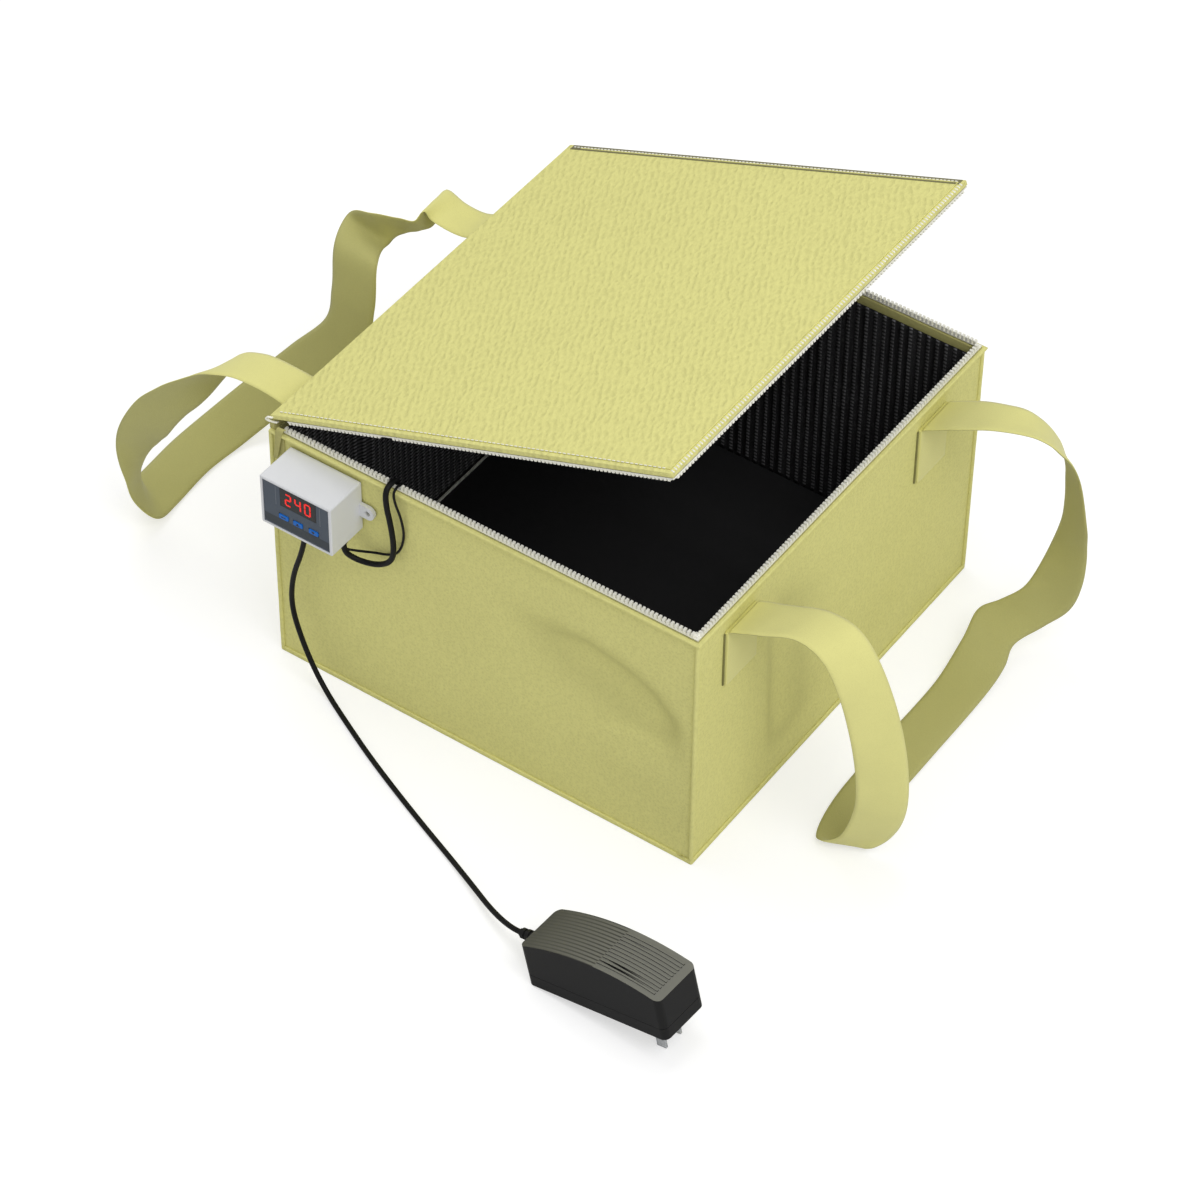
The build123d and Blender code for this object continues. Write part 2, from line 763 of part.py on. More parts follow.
# Seven-segment figures. Segments run top, upper left, upper right, middle, lower left, lower right, bottom.
segments_on = {"2": (1, 0, 1, 1, 1, 0, 1), "4": (0, 1, 1, 1, 0, 1, 0), "0": (1, 1, 1, 0, 1, 1, 1)}
digit_gap = 0.25
bar = digit_width - digit_stroke - 2 * digit_gap
post = (digit_height - digit_stroke) / 2 - 2 * digit_gap
digit_side = (digit_width - digit_stroke) / 2
digit_rise = (digit_height - digit_stroke) / 2
segment_places = (
    (0, digit_rise, bar, digit_stroke),
    (-digit_side, digit_rise / 2, digit_stroke, post),
    (digit_side, digit_rise / 2, digit_stroke, post),
    (0, 0, bar, digit_stroke),
    (-digit_side, -digit_rise / 2, digit_stroke, post),
    (digit_side, -digit_rise / 2, digit_stroke, post),
    (0, -digit_rise, bar, digit_stroke),
)
with BuildPart() as display_digits:
    with BuildSketch(case_plane.offset(window_back + window_thickness)):
        for place, figure in enumerate("240"):
            digit_x = case_x + window_x + (place - 1) * digit_pitch
            for lit, (seg_x, seg_z, seg_width, seg_height) in zip(segments_on[figure], segment_places):
                if lit:
                    with Locations((digit_x + seg_x, case_z + window_z + seg_z)):
                        Rectangle(seg_width, seg_height)
    extrude(amount=digit_relief)
write("display_digits", display_digits)

button_back = face_back + face_thickness + button_proud - button_depth
for button_name, spot in zip(("button_set", "button_up", "button_down"), button_spots):
    with BuildPart() as button:
        with BuildSketch(case_plane.offset(button_back)):
            with Locations((case_x + spot, case_z + button_z)):
                RectangleRounded(button_width, button_height, 0.8)
        extrude(amount=button_depth)
        chamfer(button.faces().sort_by(Axis.Y)[0].edges(), 0.3)
    write(button_name, button)

board_width = case_width - 2 * (case_wall + board_margin)
board_height = case_height - 2 * (case_wall + board_margin)
board_front = board_depth + board_thickness
with BuildPart() as circuit_board:
    with BuildSketch(case_plane.offset(board_depth)):
        with Locations((case_x, case_z)):
            Rectangle(board_width, board_height)
    extrude(amount=board_thickness)
    with BuildSketch(case_plane.offset(board_front)):
        for spot in button_spots:
            with Locations((case_x + spot, case_z + button_z)):
                Rectangle(5, 3)
    extrude(amount=button_back - button_travel - switch_gap - board_front)
write("circuit_board", circuit_board)

with BuildPart() as display_block:
    with BuildSketch(case_plane.offset(board_front)):
        with Locations((case_x + window_x, case_z + window_z)):
            Rectangle(window_width - 1, window_height - 2 * board_margin)
    extrude(amount=window_back - board_front)
write("display_block", display_block)

relay_depth = 9.0
with BuildPart() as relay:
    with BuildSketch(case_plane.offset(board_depth - relay_depth)):
        with Locations((case_x - 7, case_z + 4)):
            Rectangle(15, 12)
    extrude(amount=relay_depth)
write("relay", relay)

with BuildPart() as terminal_block:
    with BuildSketch(case_plane.offset(board_depth - relay_depth)):
        with Locations((case_x + 1, case_z - 9)):
            Rectangle(22, 7)
    extrude(amount=relay_depth)
    with BuildSketch(case_plane.offset(board_depth - relay_depth)):
        with Locations((case_x + 1, case_z - 9)):
            with GridLocations(5, 1, 4, 1):
                Circle(1.5)
    extrude(amount=2, mode=Mode.SUBTRACT)
write("terminal_block", terminal_block)


def round_lead(name, points, diameter):
    """Tube along straight runs joined by tangent arcs, each as large as its two runs allow."""
    route = [Vector(*point) for point in points]
    radii = []
    for before, corner, after in zip(route, route[1:], route[2:]):
        turn_angle = math.radians((corner - before).get_angle(after - corner))
        shorter = min((corner - before).length, (after - corner).length)
        radii.append(0.45 * shorter / math.tan(turn_angle / 2))
    with BuildLine() as path:
        FilletPolyline(*route, radius=radii)
    wire = path.wires()[0]
    with BuildPart() as tube:
        with BuildSketch(Plane(origin=wire @ 0, z_dir=wire % 0)):
            Circle(diameter / 2)
        sweep(path=wire)
    expected = math.pi * diameter**2 / 4 * wire.length
    print(name, "length", round(wire.length, 1), "radii", [round(radius, 1) for radius in radii])
    print(name, "volume over section times length", round(tube.part.volume / expected, 4))
    write(name, tube)


lead_start = case_floor - bush_length
cord_rest = cord_diameter / 2 + 0.1

# Adapter plane: x along its length, z out of its top. It stands on its cord end and its blade tips.
blade_reach = adapter_length - blade_inset - blade_width / 2
adapter_pitch = math.degrees(math.atan2(blade_length + plate_thickness, blade_reach))
adapter_plane = Plane(
    origin=(case_x + adapter_run, -half - adapter_out, 0),
    x_dir=Vector(1, 0, 0).rotate(Axis.Y, -adapter_pitch).rotate(Axis.Z, adapter_turn),
    z_dir=Vector(0, 0, 1).rotate(Axis.Y, -adapter_pitch).rotate(Axis.Z, adapter_turn),
)
relief_end = adapter_plane.from_local_coords(Vector(-relief_length, adapter_width / 2, relief_height))
cord_run = adapter_plane.from_local_coords(Vector(-relief_length - 13, adapter_width / 2, relief_height))


def from_case(along, out, up):
    """Route point along from the middle of the controller and out from the front wall."""
    return (case_x + along, -half - out, up)


power_route = (
    (cord_bush_x, bush_y, lead_start),
    (cord_bush_x, bush_y, lead_start - 9),
    from_case(-9.8, 13.2, 108),
    from_case(-18, 13.5, 83),
    from_case(-20.5, 13, 58),
    from_case(-14.5, 13, 35),
    from_case(-5.5, 14, 16),
    from_case(6, 16, cord_rest),
    from_case(27, 27, cord_rest),
    from_case(59, 43, cord_rest),
    from_case(105, 63, cord_rest),
    from_case(150, 81, cord_rest),
    (cord_run.X, cord_run.Y, cord_run.Z),
    (relief_end.X, relief_end.Y, relief_end.Z),
)
round_lead("power_cord", power_route, cord_diameter)

cross_z = (teeth_base + lid_under - tape_rise) / 2
boot_x = heater_cross - 0.5
boot_out = -wall - rib_height - 13
boot_y = -half - boot_out
heater_end = pad_top + boot_height / 2
heater_route = (
    (heater_bush_x, bush_y, lead_start),
    (heater_bush_x, bush_y, lead_start - 5),
    from_case(22, 11.5, 122),
    from_case(29.5, 8.5, 118.5),
    from_case(40, 6.5, 120),
    from_case(48.5, 5.5, 127),
    from_case(50.5, 5.6, 139),
    from_case(49, 6, 156),
    from_case(46, 6, 170),
    from_case(heater_cross_run, 5.2, cross_z),
    from_case(heater_cross_run, -6.1, cross_z),
    from_case(44.5, -6.6, 168),
    from_case(43.5, -6.4, 145),
    from_case(45, -6.4, 105),
    from_case(43.5, -6.4, 60),
    from_case(44.5, -6.8, 30),
    from_case(45, -8.5, 16),
    from_case(45.5, boot_out + 6.5, heater_end),
    (boot_x, boot_y, heater_end),
)
round_lead("heater_lead", heater_route, heater_diameter)

probe_run = 52.0
probe_out = -wall - rib_height - probe_diameter / 2 - 0.5
probe_top = 118.0
sensor_route = (
    (sensor_bush_x, bush_y, lead_start),
    (sensor_bush_x, bush_y, lead_start - 4),
    from_case(18.5, 10, 123.5),
    from_case(25, 4.5, 121),
    from_case(34, 2, 123),
    from_case(44, 1.9, 126.5),
    from_case(51.5, 1.9, 133),
    from_case(55.5, 2, 148),
    from_case(54, 3.2, 163),
    from_case(51, 4.3, 173),
    from_case(sensor_cross_run, 4.4, cross_z),
    from_case(sensor_cross_run, -5.4, cross_z),
    from_case(50.6, -5.8, 172),
    from_case(51.6, -6.1, 156),
    from_case(51.8, -6.3, 136),
    from_case(probe_run, probe_out, probe_top),
)
round_lead("sensor_lead", sensor_route, sensor_diameter)

with BuildPart() as sensor_probe:
    with BuildSketch(Plane.XY.offset(probe_top - probe_length)):
        with Locations((case_x + probe_run, -half - probe_out)):
            Circle(probe_diameter / 2)
    extrude(amount=probe_length)
    chamfer(sensor_probe.edges().group_by(Axis.Z)[0], 0.8)
write("sensor_probe", sensor_probe)

with BuildPart() as pad_boot:
    with BuildSketch(Plane.XY.offset(pad_top)):
        with Locations((boot_x, boot_y + boot_length / 2)):
            Rectangle(boot_width, boot_length)
    extrude(amount=boot_height, taper=8)
write("pad_boot", pad_boot)


def adapter_side(depth):
    """Plane on the adapter's side, depth into its width: x along it, y up."""
    corner = adapter_plane.from_local_coords(Vector(0, depth, 0))
    return Plane(origin=corner, x_dir=adapter_plane.x_dir, z_dir=-adapter_plane.y_dir)


def upright_edges(block):
    return block.edges().filter_by(lambda edge: abs(edge.tangent_at(0.5).dot(adapter_plane.z_dir)) > 0.99)


blade_x = adapter_length - blade_inset
inner_width = adapter_width - 2 * adapter_wall

with BuildPart() as adapter_lower:
    with BuildSketch(adapter_side(0)):
        with Locations((adapter_length / 2, adapter_low / 2)):
            Rectangle(adapter_length, adapter_low)
    extrude(amount=-adapter_width)
    fillet(upright_edges(adapter_lower), adapter_corner)
    with BuildSketch(adapter_side(adapter_wall)):
        with Locations((adapter_length / 2, (adapter_wall + adapter_low) / 2)):
            Rectangle(adapter_length - 2 * adapter_wall, adapter_low - adapter_wall)
    extrude(amount=-inner_width, mode=Mode.SUBTRACT)
write("adapter_lower", adapter_lower)

# The top is an arc over the whole length, and its far part has lengthwise grip ridges.
arch_depth = ((adapter_length / 2) ** 2 - adapter_arch**2) / (2 * adapter_arch)
arch_radius = math.hypot(adapter_length / 2, arch_depth)


def arch_point(along, above):
    """Point over the adapter's arched top, above it by the given amount."""
    rise = math.sqrt(arch_radius**2 - (along - adapter_length / 2) ** 2)
    return (along, adapter_end_height - arch_depth + rise + above)


def arch_outline(start, end, bottom, above):
    """Corners and arc of a shape from a level bottom up to a curve over the arched top."""
    middle = (start + end) / 2
    Polyline(arch_point(start, above), (start, bottom), (end, bottom), arch_point(end, above))
    ThreePointArc(arch_point(start, above), arch_point(middle, above), arch_point(end, above))


with BuildPart() as adapter_upper:
    with BuildSketch(adapter_side(0)):
        with BuildLine():
            arch_outline(0, adapter_length, adapter_low, 0)
        make_face()
    extrude(amount=-adapter_width)
    fillet(upright_edges(adapter_upper), adapter_corner)
    for ridge in range(ridge_count):
        ridge_side = adapter_width / 2 + (ridge - (ridge_count - 1) / 2) * ridge_pitch - ridge_width / 2
        with BuildSketch(adapter_side(ridge_side)):
            with BuildLine():
                arch_outline(ridge_start, ridge_end, adapter_end_height, ridge_rise)
            make_face()
        extrude(amount=-ridge_width)
    with BuildSketch(adapter_side(adapter_wall)):
        with BuildLine():
            arch_outline(adapter_wall, adapter_length - adapter_wall, adapter_low, -adapter_wall)
        make_face()
    extrude(amount=-inner_width, mode=Mode.SUBTRACT)
write("adapter_upper", adapter_upper)

with BuildPart() as adapter_core:
    with BuildSketch(adapter_side(adapter_wall + 3)):
        with Locations((adapter_length / 2, adapter_wall + 9)):
            Rectangle(adapter_length * 0.6, 18)
    extrude(amount=-(adapter_width - 2 * (adapter_wall + 3)))
write("adapter_core", adapter_core)

with BuildPart() as plug_plate:
    with BuildSketch(adapter_plane.offset(-plate_thickness)):
        with Locations((blade_x, adapter_width / 2)):
            RectangleRounded(plate_length, plate_width, 3)
    extrude(amount=plate_thickness)
write("plug_plate", plug_plate)

with BuildPart() as plug_blades:
    for blade_side in (-1, 1):
        with BuildSketch(adapter_plane.offset(-plate_thickness - blade_length)):
            with Locations((blade_x, adapter_width / 2 + blade_side * blade_spacing / 2)):
                Rectangle(blade_width, blade_thickness)
        extrude(amount=blade_length)
write("plug_blades", plug_blades)

relief_start = adapter_plane.from_local_coords(Vector(0, adapter_width / 2, relief_height))
relief_plane = Plane(origin=relief_start, z_dir=-adapter_plane.x_dir)
with BuildPart() as strain_relief:
    ring_count = 4
    ring_pitch = relief_length / ring_count
    for ring in range(ring_count):
        ring_radius = relief_radius - ring * 0.35
        with BuildSketch(relief_plane.offset(ring * ring_pitch)):
            Circle(ring_radius)
        extrude(amount=ring_pitch * 0.6)
        with BuildSketch(relief_plane.offset(ring * ring_pitch)):
            Circle(ring_radius - 0.9)
        extrude(amount=ring_pitch)
write("strain_relief", strain_relief)
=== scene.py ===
import json
import math

import bmesh
import bpy
from mathutils import Matrix, Vector, noise


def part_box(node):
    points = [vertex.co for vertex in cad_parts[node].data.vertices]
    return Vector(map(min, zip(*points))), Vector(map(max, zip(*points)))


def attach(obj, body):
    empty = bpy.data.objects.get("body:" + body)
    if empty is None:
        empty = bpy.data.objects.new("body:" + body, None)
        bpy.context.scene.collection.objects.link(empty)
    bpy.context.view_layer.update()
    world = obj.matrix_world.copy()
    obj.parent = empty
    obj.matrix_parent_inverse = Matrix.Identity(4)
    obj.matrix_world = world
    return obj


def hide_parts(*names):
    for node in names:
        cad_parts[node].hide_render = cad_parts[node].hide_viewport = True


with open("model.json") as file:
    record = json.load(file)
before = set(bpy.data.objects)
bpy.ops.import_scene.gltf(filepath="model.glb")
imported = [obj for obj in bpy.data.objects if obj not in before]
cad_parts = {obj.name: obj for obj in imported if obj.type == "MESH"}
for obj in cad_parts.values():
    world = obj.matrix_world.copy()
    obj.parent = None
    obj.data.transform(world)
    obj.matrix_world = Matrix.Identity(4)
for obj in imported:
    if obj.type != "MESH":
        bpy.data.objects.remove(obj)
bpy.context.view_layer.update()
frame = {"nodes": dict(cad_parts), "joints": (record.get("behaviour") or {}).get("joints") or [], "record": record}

mm = 0.001

# Places that the pieces share. Lid pieces are shaped in the lid's own space, where it lies
# flat with its hinge at x = 0.
front_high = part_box("front_panel")[1]
half = front_high[0]
wall_top = front_high[2]
lid_joint = next(joint for joint in frame["joints"] if joint["name"] == "lid_hinge")
hinge = Vector(lid_joint["pos_m"])
lid_tilt = math.radians(21.2)
lid_radius = 1.4 * mm
lid_length = half - hinge.x
to_lid = Matrix.Rotation(lid_tilt, 4, "Y") @ Matrix.Translation(-hinge)
from_lid = to_lid.inverted()
case_middle = -106 * mm
case_height = 154 * mm
strap_end_middles = (-104 * mm, 92 * mm)
adapter_corner = Vector((121.7, -269.5, 0)) * mm
adapter_turn = (0, math.radians(-13.1), math.radians(-3))


# Camera at the photograph's angle
camera_place = (1.0565, -1.5610, 1.9159)
camera_azimuth = math.radians(34.57)
camera_elevation = math.radians(45.38)
camera_roll = math.radians(0.69)
camera_lens = 135.5


def add_camera():
    camera = bpy.data.cameras.new("camera")
    camera.sensor_width = 36
    camera.lens = camera_lens
    camera.clip_end = 20
    rig = bpy.data.objects.new("camera", camera)
    bpy.context.scene.collection.objects.link(rig)
    turn = Matrix.Rotation(camera_azimuth, 4, "Z")
    turn = turn @ Matrix.Rotation(math.pi / 2 - camera_elevation, 4, "X")
    turn = turn @ Matrix.Rotation(camera_roll, 4, "Z")
    rig.matrix_world = Matrix.Translation(camera_place) @ turn
    bpy.context.scene.camera = rig


add_camera()


# Node materials
class Shader:
    """Short way to build one node material."""

    def __init__(self, name, colour, roughness=0.7, specular=0.35, metallic=0.0):
        self.material = bpy.data.materials.new(name)
        self.material.use_nodes = True
        self.material.diffuse_color = (*colour, 1)
        self.tree = self.material.node_tree
        self.surface = self.tree.nodes["Principled BSDF"]
        self.surface.inputs["Base Color"].default_value = (*colour, 1)
        self.surface.inputs["Roughness"].default_value = roughness
        self.surface.inputs["Specular IOR Level"].default_value = specular
        self.surface.inputs["Metallic"].default_value = metallic
        self.place = self.tree.nodes.new("ShaderNodeTexCoord").outputs["Object"]

    def add(self, kind):
        return self.tree.nodes.new(kind)

    def link(self, start, end):
        self.tree.links.new(start, end)

    def noise(self, scale, detail=3, roughness=0.5, place=None):
        """Soft noise with about this many features in a metre."""
        node = self.add("ShaderNodeTexNoise")
        node.inputs["Scale"].default_value = scale
        node.inputs["Detail"].default_value = detail
        node.inputs["Roughness"].default_value = roughness
        self.link(place or self.place, node.inputs["Vector"])
        return node.outputs["Fac"]

    def cells(self, scale):
        """Distance to the nearest of many scattered points, this many in a metre."""
        node = self.add("ShaderNodeTexVoronoi")
        node.inputs["Scale"].default_value = scale
        self.link(self.place, node.inputs["Vector"])
        return node.outputs["Distance"]

    def wave(self, scale, direction, distortion=0.0, place=None):
        """Parallel bands across one direction, bent by the distortion."""
        node = self.add("ShaderNodeTexWave")
        node.wave_type = "BANDS"
        node.bands_direction = direction
        node.wave_profile = "SIN"
        node.inputs["Scale"].default_value = scale
        node.inputs["Distortion"].default_value = distortion
        self.link(place or self.place, node.inputs["Vector"])
        return node.outputs["Fac"]

    def math(self, operation, first, second):
        node = self.add("ShaderNodeMath")
        node.operation = operation
        for socket, value in zip(node.inputs, (first, second)):
            if isinstance(value, (int, float)):
                socket.default_value = value
            else:
                self.link(value, socket)
        return node.outputs["Value"]

    def spread(self, value, low, high, out_low=0.0, out_high=1.0):
        """The value, mapped from low..high to out_low..out_high."""
        node = self.add("ShaderNodeMapRange")
        node.inputs["From Min"].default_value = low
        node.inputs["From Max"].default_value = high
        node.inputs["To Min"].default_value = out_low
        node.inputs["To Max"].default_value = out_high
        self.link(value, node.inputs["Value"])
        return node.outputs["Result"]

    def tint(self, factor, other):
        """Base colour runs from the main colour to the other one by the factor."""
        node = self.add("ShaderNodeMix")
        node.data_type = "RGBA"
        current = self.surface.inputs["Base Color"]
        if current.is_linked:
            self.link(current.links[0].from_socket, node.inputs["A"])
        else:
            node.inputs["A"].default_value = current.default_value[:]
        node.inputs["B"].default_value = (*other, 1)
        self.link(factor, node.inputs["Factor"])
        self.link(node.outputs["Result"], current)

    def bump(self, height, distance, strength=1.0):
        """Relief of this height, laid over what the surface has already."""
        node = self.add("ShaderNodeBump")
        node.inputs["Distance"].default_value = distance
        node.inputs["Strength"].default_value = strength
        self.link(height, node.inputs["Height"])
        normal = self.surface.inputs["Normal"]
        if normal.is_linked:
            self.link(normal.links[0].from_socket, node.inputs["Normal"])
        self.link(node.outputs["Normal"], normal)

    def mark(self, strength=1.0):
        """The mark that a mesh carries, 0 where it has none."""
        node = self.add("ShaderNodeAttribute")
        node.attribute_name = "mark"
        return self.math("MULTIPLY", node.outputs["Fac"], strength)

    def rough(self, factor, low, high):
        self.link(self.spread(factor, 0, 1, low, high), self.surface.inputs["Roughness"])


def shade(colour, factor):
    return tuple(channel * factor for channel in colour)


olive = (0.73, 0.70, 0.268)


def pressed_fabric(name, colour, pressed, depth, contrast):
    """Bonded fabric: pressed(look) gives the height of its pattern, under fine fibres. Its hollows get painted
    shade, its raised places painted light, and marked places painted shade along the dents.
    """
    look = Shader(name, colour, roughness=0.85, specular=0.15)
    hollow_shade, raised_light = shade(colour, 0.72), shade(colour, 1.12)
    fibre_dark, fibre_pale = shade(colour, 0.78), shade(colour, 1.15)
    height = pressed(look)
    patches = look.noise(22, 3, 0.6)
    look.tint(look.spread(patches, 0.35, 0.75, 0, 0.3), shade(colour, 0.92))
    # Painted shade in the pattern's hollows and painted light on its raised places
    look.tint(look.spread(height, 0.5, 0.0, 0, contrast), hollow_shade)
    look.tint(look.spread(height, 0.5, 1.0, 0, contrast), raised_light)
    fibres = look.noise(1700, 4, 0.7)
    look.tint(look.spread(fibres, 0.5, 0.72, 0, 0.4), fibre_pale)
    look.tint(look.spread(fibres, 0.47, 0.3, 0, 0.4), fibre_dark)
    # Painted shade along the walls' dents, where the mesh is marked
    look.tint(look.mark(), shade(colour, 0.62))
    look.bump(height, depth, 0.8)
    look.bump(fibres, 0.1 * mm, 0.5)
    return look.material


def stretched(look, turn, stretch):
    """The piece's own coordinates, turned about the upright and stretched."""
    place = look.add("ShaderNodeMapping")
    place.vector_type = "TEXTURE"
    place.inputs["Rotation"].default_value = (0, 0, math.radians(turn))
    place.inputs["Scale"].default_value = stretch
    look.link(look.place, place.inputs["Vector"])
    return place.outputs["Vector"]


def dotted(look):
    """Small round dimples between faint upright streaks."""
    dimples = look.spread(look.cells(560), 0.1, 0.7)
    streaks = look.noise(620, 2, 0.5, stretched(look, 0, (1, 1, 5)))
    return look.math("MULTIPLY", dimples, look.spread(streaks, 0.35, 0.6, 0.55, 1.0))


lid_slant = 28.6


def slanting_grains(look):
    """Raised grains, longer than wide, lying aslant across the lid."""
    rows = look.wave(76, "X", 4.5, place=stretched(look, lid_slant, (1, 1, 1)))
    grains = look.noise(430, 1, 0.4, stretched(look, lid_slant, (1, 1.8, 1)))
    row_height = look.spread(rows, 0, 1, 0, 0.45)
    grain_height = look.spread(grains, 0.36, 0.62, 0, 0.55)
    return look.math("ADD", row_height, grain_height)


def webbing_material(name, colour):
    """Webbing with a fine weave, and painted shade on the side that carries the piece's mark."""
    look = Shader(name, colour, roughness=0.82, specular=0.2)
    look.surface.inputs["Sheen Weight"].default_value = 0.2
    uneven = look.noise(34, 3, 0.6)
    look.tint(look.spread(uneven, 0.35, 0.75, 0, 0.35), shade(colour, 0.88))
    # Painted shade on the marked side, the loop's inner side
    look.tint(look.mark(0.9), shade(colour, 0.56))
    weave = look.cells(1300)
    look.tint(look.spread(weave, 0.5, 0.1, 0, 0.2), shade(colour, 0.75))
    look.bump(look.spread(weave, 0.05, 0.6), 0.1 * mm, 0.6)
    look.bump(look.noise(3200, 3, 0.6), 0.06 * mm, 0.5)
    return look.material


def piping_material(name, colour):
    """Finely creased trim, with painted shade where the mesh is marked."""
    look = Shader(name, colour, roughness=0.78, specular=0.18)
    folds = look.noise(420, 3, 0.55)
    look.tint(look.spread(folds, 0.4, 0.75, 0, 0.5), shade(colour, 0.8))
    # Painted shade where the mesh is marked
    look.tint(look.mark(), shade(colour, 0.3))
    look.bump(folds, 0.5 * mm, 0.6)
    look.bump(look.noise(2500, 3, 0.6), 0.1 * mm, 0.6)
    return look.material


def lining_material(name, colour, rib_colour):
    """Dark lining with painted light where the mesh is marked: rows of paler dashes as painted highlights on its
    ribs.
    """
    look = Shader(name, colour, roughness=0.5, specular=0.35)
    dashes = look.wave(115, "Z", 2.0)
    speck = look.noise(900, 3, 0.6)
    rib_highlight_dashes = look.math("MULTIPLY", look.mark(), look.spread(dashes, 0.35, 0.8))
    # Painted highlights: paler dashes where the mesh is marked
    look.tint(rib_highlight_dashes, rib_colour)
    look.tint(look.spread(speck, 0.5, 0.85, 0, 0.4), shade(rib_colour, 0.6))
    look.rough(speck, 0.4, 0.65)
    look.bump(speck, 0.1 * mm, 0.5)
    look.bump(look.noise(60, 2, 0.5), 0.6 * mm, 0.4)
    return look.material


def moulded_plastic(name, colour, roughness=0.4, grain=1600, depth=0.03 * mm, specular=0.45):
    """Plastic with a fine moulded grain and faint smudges."""
    look = Shader(name, colour, roughness, specular)
    fine = look.noise(grain, 3, 0.6)
    smudge = look.noise(45, 3, 0.6)
    look.tint(look.spread(smudge, 0.4, 0.8, 0, 0.35), shade(colour, 0.9))
    look.rough(smudge, max(roughness - 0.08, 0.05), roughness + 0.1)
    look.bump(fine, depth, 0.6)
    return look.material


def pale_material(name, colour):
    """Pale moulded teeth, threads and welts, a little yellower in places."""
    look = Shader(name, colour, roughness=0.45, specular=0.4)
    yellower = (colour[0] * 0.85, colour[1] * 0.83, colour[2] * 0.7)
    wear = look.noise(900, 3, 0.6)
    look.tint(look.spread(wear, 0.45, 0.75, 0, 0.5), yellower)
    look.bump(wear, 0.08 * mm, 0.5)
    return look.material


def adapter_material():
    """Black moulded plastic with painted shade along its parting line, and a painted highlight on its top with
    painted shade in the fine lines along it.

    All places are in the adapter's own frame: X along it from the cord's end, Z up from its base.
    """
    top_highlight, groove_shade, seam_shade = (0.17, 0.17, 0.145), (0.03, 0.03, 0.027), (0.0004, 0.0004, 0.0004)
    lines_end, seam_height, seam_half = 53.5 * mm, 8 * mm, 0.18 * mm
    look = Shader("black_plastic_painted_highlight", (0.010, 0.010, 0.010), roughness=0.5, specular=0.16)
    own = look.add("ShaderNodeMapping")
    own.vector_type = "TEXTURE"
    own.inputs["Location"].default_value = adapter_corner
    own.inputs["Rotation"].default_value = adapter_turn
    look.link(look.place, own.inputs["Vector"])
    parts = look.add("ShaderNodeSeparateXYZ")
    look.link(own.outputs["Vector"], parts.inputs["Vector"])
    along, up = parts.outputs["X"], parts.outputs["Z"]
    facing = look.add("ShaderNodeSeparateXYZ")
    look.link(look.add("ShaderNodeNewGeometry").outputs["True Normal"], facing.inputs["Vector"])
    top = look.spread(facing.outputs["Z"], 0.5, 0.9)
    # Painted highlight: upward faces paler, more so further from the cord's end
    look.tint(look.math("MULTIPLY", top, look.spread(along, 0, 60 * mm, 0.45, 1)), top_highlight)
    lines = look.wave(121, "Y", place=own.outputs["Vector"])
    shown = look.math("MULTIPLY", look.spread(along, 4 * mm, 52 * mm, 0.2, 0.8), top)
    before_end = look.spread(along, lines_end, lines_end + 1 * mm, 1, 0)
    shown = look.math("MULTIPLY", shown, before_end)
    # Painted shade in the fine lines along the top
    look.tint(look.math("MULTIPLY", shown, look.spread(lines, 0.45, 0.2)), groove_shade)
    from_seam = look.math("ABSOLUTE", look.math("SUBTRACT", up, seam_height), 0)
    on_seam = look.spread(from_seam, seam_half, seam_half + 0.16 * mm, 1, 0)
    seam = look.math("MULTIPLY", on_seam, look.spread(top, 0, 0.2, 1, 0))
    # Painted shade along the parting line
    look.tint(seam, seam_shade)
    look.bump(seam, -0.5 * mm, 1.0)
    grain = look.noise(1300, 3, 0.6)
    look.bump(grain, 0.06 * mm, 0.6)
    return look.material


def brushed_metal(name, colour):
    look = Shader(name, colour, roughness=0.3, specular=0.5, metallic=1.0)
    scratches = look.noise(700, 4, 0.7)
    look.rough(scratches, 0.22, 0.46)
    look.bump(scratches, 0.03 * mm, 0.4)
    return look.material


def lit_material(name, colour, strength):
    look = Shader(name, colour, roughness=0.35, specular=0.4)
    look.surface.inputs["Emission Color"].default_value = (*colour, 1)
    look.surface.inputs["Emission Strength"].default_value = strength
    glow = look.noise(1500, 2, 0.5)
    look.tint(look.spread(glow, 0.4, 0.8, 0, 0.3), shade(colour, 0.8))
    return look.material


def clear_plastic(name, colour):
    look = Shader(name, colour, roughness=0.12, specular=0.5)
    look.surface.inputs["Transmission Weight"].default_value = 0.55
    look.surface.inputs["IOR"].default_value = 1.45
    haze = look.noise(800, 3, 0.6)
    look.bump(haze, 0.04 * mm, 0.4)
    return look.material


def foam_material(name, colour):
    look = Shader(name, colour, roughness=0.9, specular=0.2)
    bubbles = look.cells(900)
    look.tint(look.spread(bubbles, 0.5, 0.1, 0, 0.3), shade(colour, 0.8))
    look.bump(bubbles, 0.2 * mm, 0.7)
    return look.material


